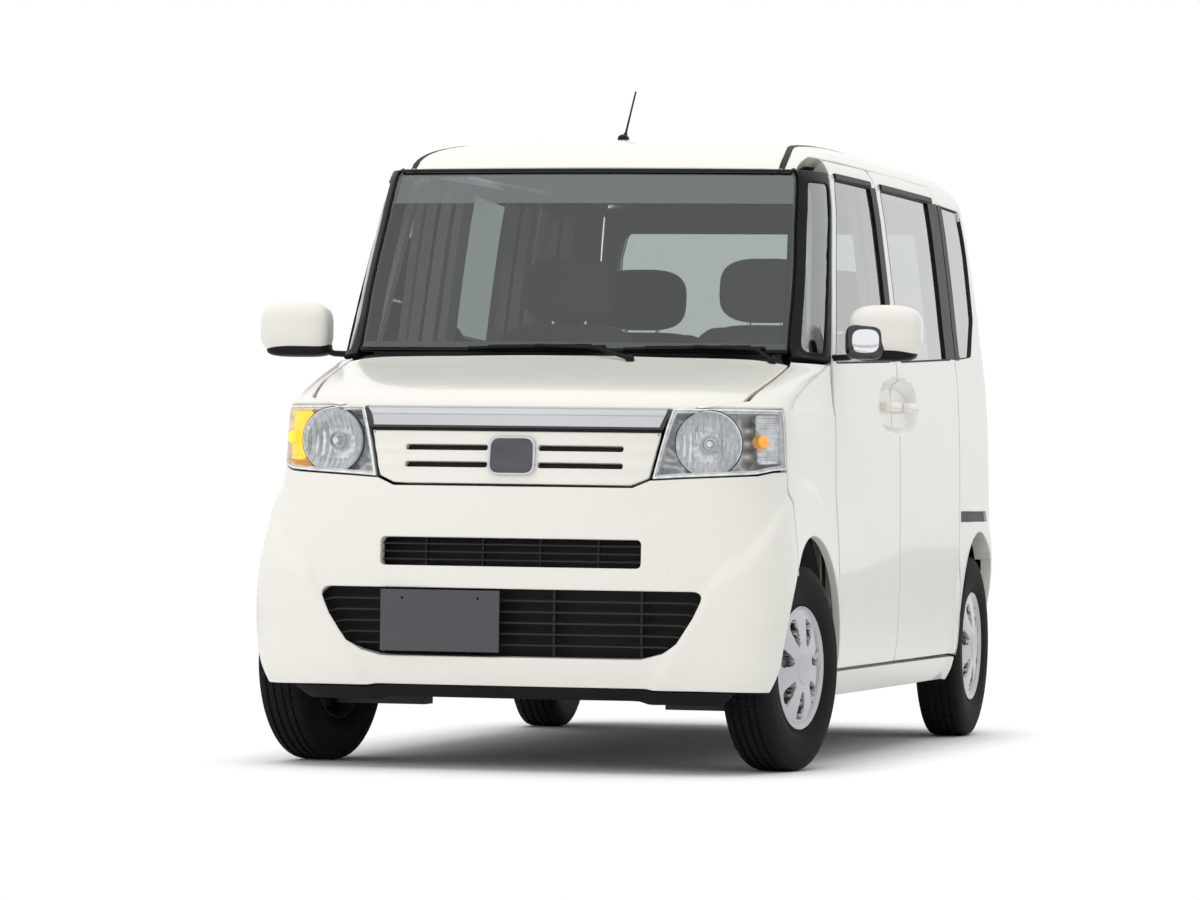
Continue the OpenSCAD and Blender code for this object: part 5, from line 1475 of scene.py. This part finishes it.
# ---------------------------------------------------------------- stage, light and camera
def floor():
    mesh = bpy.data.meshes.new("floor")
    r = 60
    mesh.from_pydata([(-r, -r, 0), (r, -r, 0), (r, r, 0), (-r, r, 0)], [], [(0, 1, 2, 3)])
    ob = bpy.data.objects.new("floor", mesh)
    bpy.context.scene.collection.objects.link(ob)
    m = bpy.data.materials.new("floor")
    m.use_nodes = True
    b = m.node_tree.nodes["Principled BSDF"]
    b.inputs["Base Color"].default_value = (0.93, 0.93, 0.93, 1)
    b.inputs["Roughness"].default_value = 0.9
    b.inputs["Specular IOR Level"].default_value = 0.1
    nt = m.node_tree
    path = nt.nodes.new("ShaderNodeLightPath")
    white = nt.nodes.new("ShaderNodeEmission")
    both_ = nt.nodes.new("ShaderNodeMixShader")
    far = nt.nodes.new("ShaderNodeNewGeometry")
    length = nt.nodes.new("ShaderNodeVectorMath")
    length.operation = "LENGTH"
    squeeze = nt.nodes.new("ShaderNodeVectorMath")
    squeeze.operation = "MULTIPLY"
    squeeze.inputs[1].default_value = (0.56, 1.32, 1)
    nt.links.new(far.outputs["Position"], squeeze.inputs[0])
    square = nt.nodes.new("ShaderNodeVectorMath")
    square.operation = "MULTIPLY"
    for k in (0, 1):
        nt.links.new(squeeze.outputs["Vector"], square.inputs[k])
    nt.links.new(square.outputs["Vector"], length.inputs[0])
    fade = nt.nodes.new("ShaderNodeMapRange")
    fade.inputs["From Min"].default_value = 1.00
    fade.inputs["From Max"].default_value = 1.60
    nt.links.new(length.outputs["Value"], fade.inputs["Value"])
    seen = nt.nodes.new("ShaderNodeMath")
    seen.operation = "MULTIPLY"
    nt.links.new(path.outputs["Is Camera Ray"], seen.inputs[0])
    nt.links.new(fade.outputs["Result"], seen.inputs[1])
    nt.links.new(seen.outputs[0], both_.inputs["Fac"])
    nt.links.new(b.outputs["BSDF"], both_.inputs[1])
    nt.links.new(white.outputs["Emission"], both_.inputs[2])
    nt.links.new(both_.outputs["Shader"], nt.nodes["Material Output"].inputs["Surface"])
    ob.data.materials.append(m)


def area(name, at, look, size, power, size_y=None):
    light = bpy.data.lights.new(name, "AREA")
    light.shape = "RECTANGLE"
    light.size, light.size_y = size, size_y or size
    light.energy = power
    ob = bpy.data.objects.new(name, light)
    bpy.context.scene.collection.objects.link(ob)
    ob.location = at
    ob.rotation_euler = (Vector(look) - Vector(at)).to_track_quat("-Z", "Y").to_euler()
    return ob


def sky(level):
    world = bpy.data.worlds.new("studio")
    bpy.context.scene.world = world
    world.use_nodes = True
    nt = world.node_tree
    back = nt.nodes["Background"]
    path = nt.nodes.new("ShaderNodeLightPath")
    seen = nt.nodes.new("ShaderNodeMath")
    seen.operation = "MAXIMUM"
    nt.links.new(path.outputs["Is Camera Ray"], seen.inputs[0])
    nt.links.new(path.outputs["Is Glossy Ray"], seen.inputs[1])
    more = nt.nodes.new("ShaderNodeMath")
    more.operation = "MAXIMUM"
    nt.links.new(seen.outputs[0], more.inputs[0])
    nt.links.new(path.outputs["Is Transmission Ray"], more.inputs[1])
    strength = nt.nodes.new("ShaderNodeMapRange")
    strength.inputs["To Min"].default_value = level
    strength.inputs["To Max"].default_value = 1.0
    nt.links.new(more.outputs[0], strength.inputs["Value"])
    nt.links.new(strength.outputs["Result"], back.inputs["Strength"])
    back.inputs["Color"].default_value = (1, 1, 1, 1)


def camera():
    data = bpy.data.cameras.new("camera")
    data.sensor_width = 36
    data.lens = 177.46
    data.clip_end = 200
    ob = bpy.data.objects.new("camera", data)
    bpy.context.scene.collection.objects.link(ob)
    yaw, pitch, roll = 3.386142, 0.0055056, 0.0131170
    ahead = Vector((math.cos(pitch) * math.cos(yaw), math.cos(pitch) * math.sin(yaw), math.sin(pitch)))
    right = ahead.cross(Vector((0, 0, 1))).normalized()
    up = right.cross(ahead)
    x = right * math.cos(roll) + up * math.sin(roll)
    y = -right * math.sin(roll) + up * math.cos(roll)
    turn = Matrix((x, y, -ahead)).transposed().to_4x4()
    ob.matrix_world = Matrix.Translation((16.9756, 4.0618, 0.7768)) @ turn
    bpy.context.scene.camera = ob


floor()
sky(0.66)
area("overhead", (0.5, 0.0, 9.0), (0, 0, 0.5), 10.0, 470).visible_glossy = False
area("front_soft", (7.5, -3.5, 3.2), (1.0, 0, 0.9), 5.0, 120).visible_glossy = False
camera()
bpy.context.scene.view_settings.view_transform = "Standard"
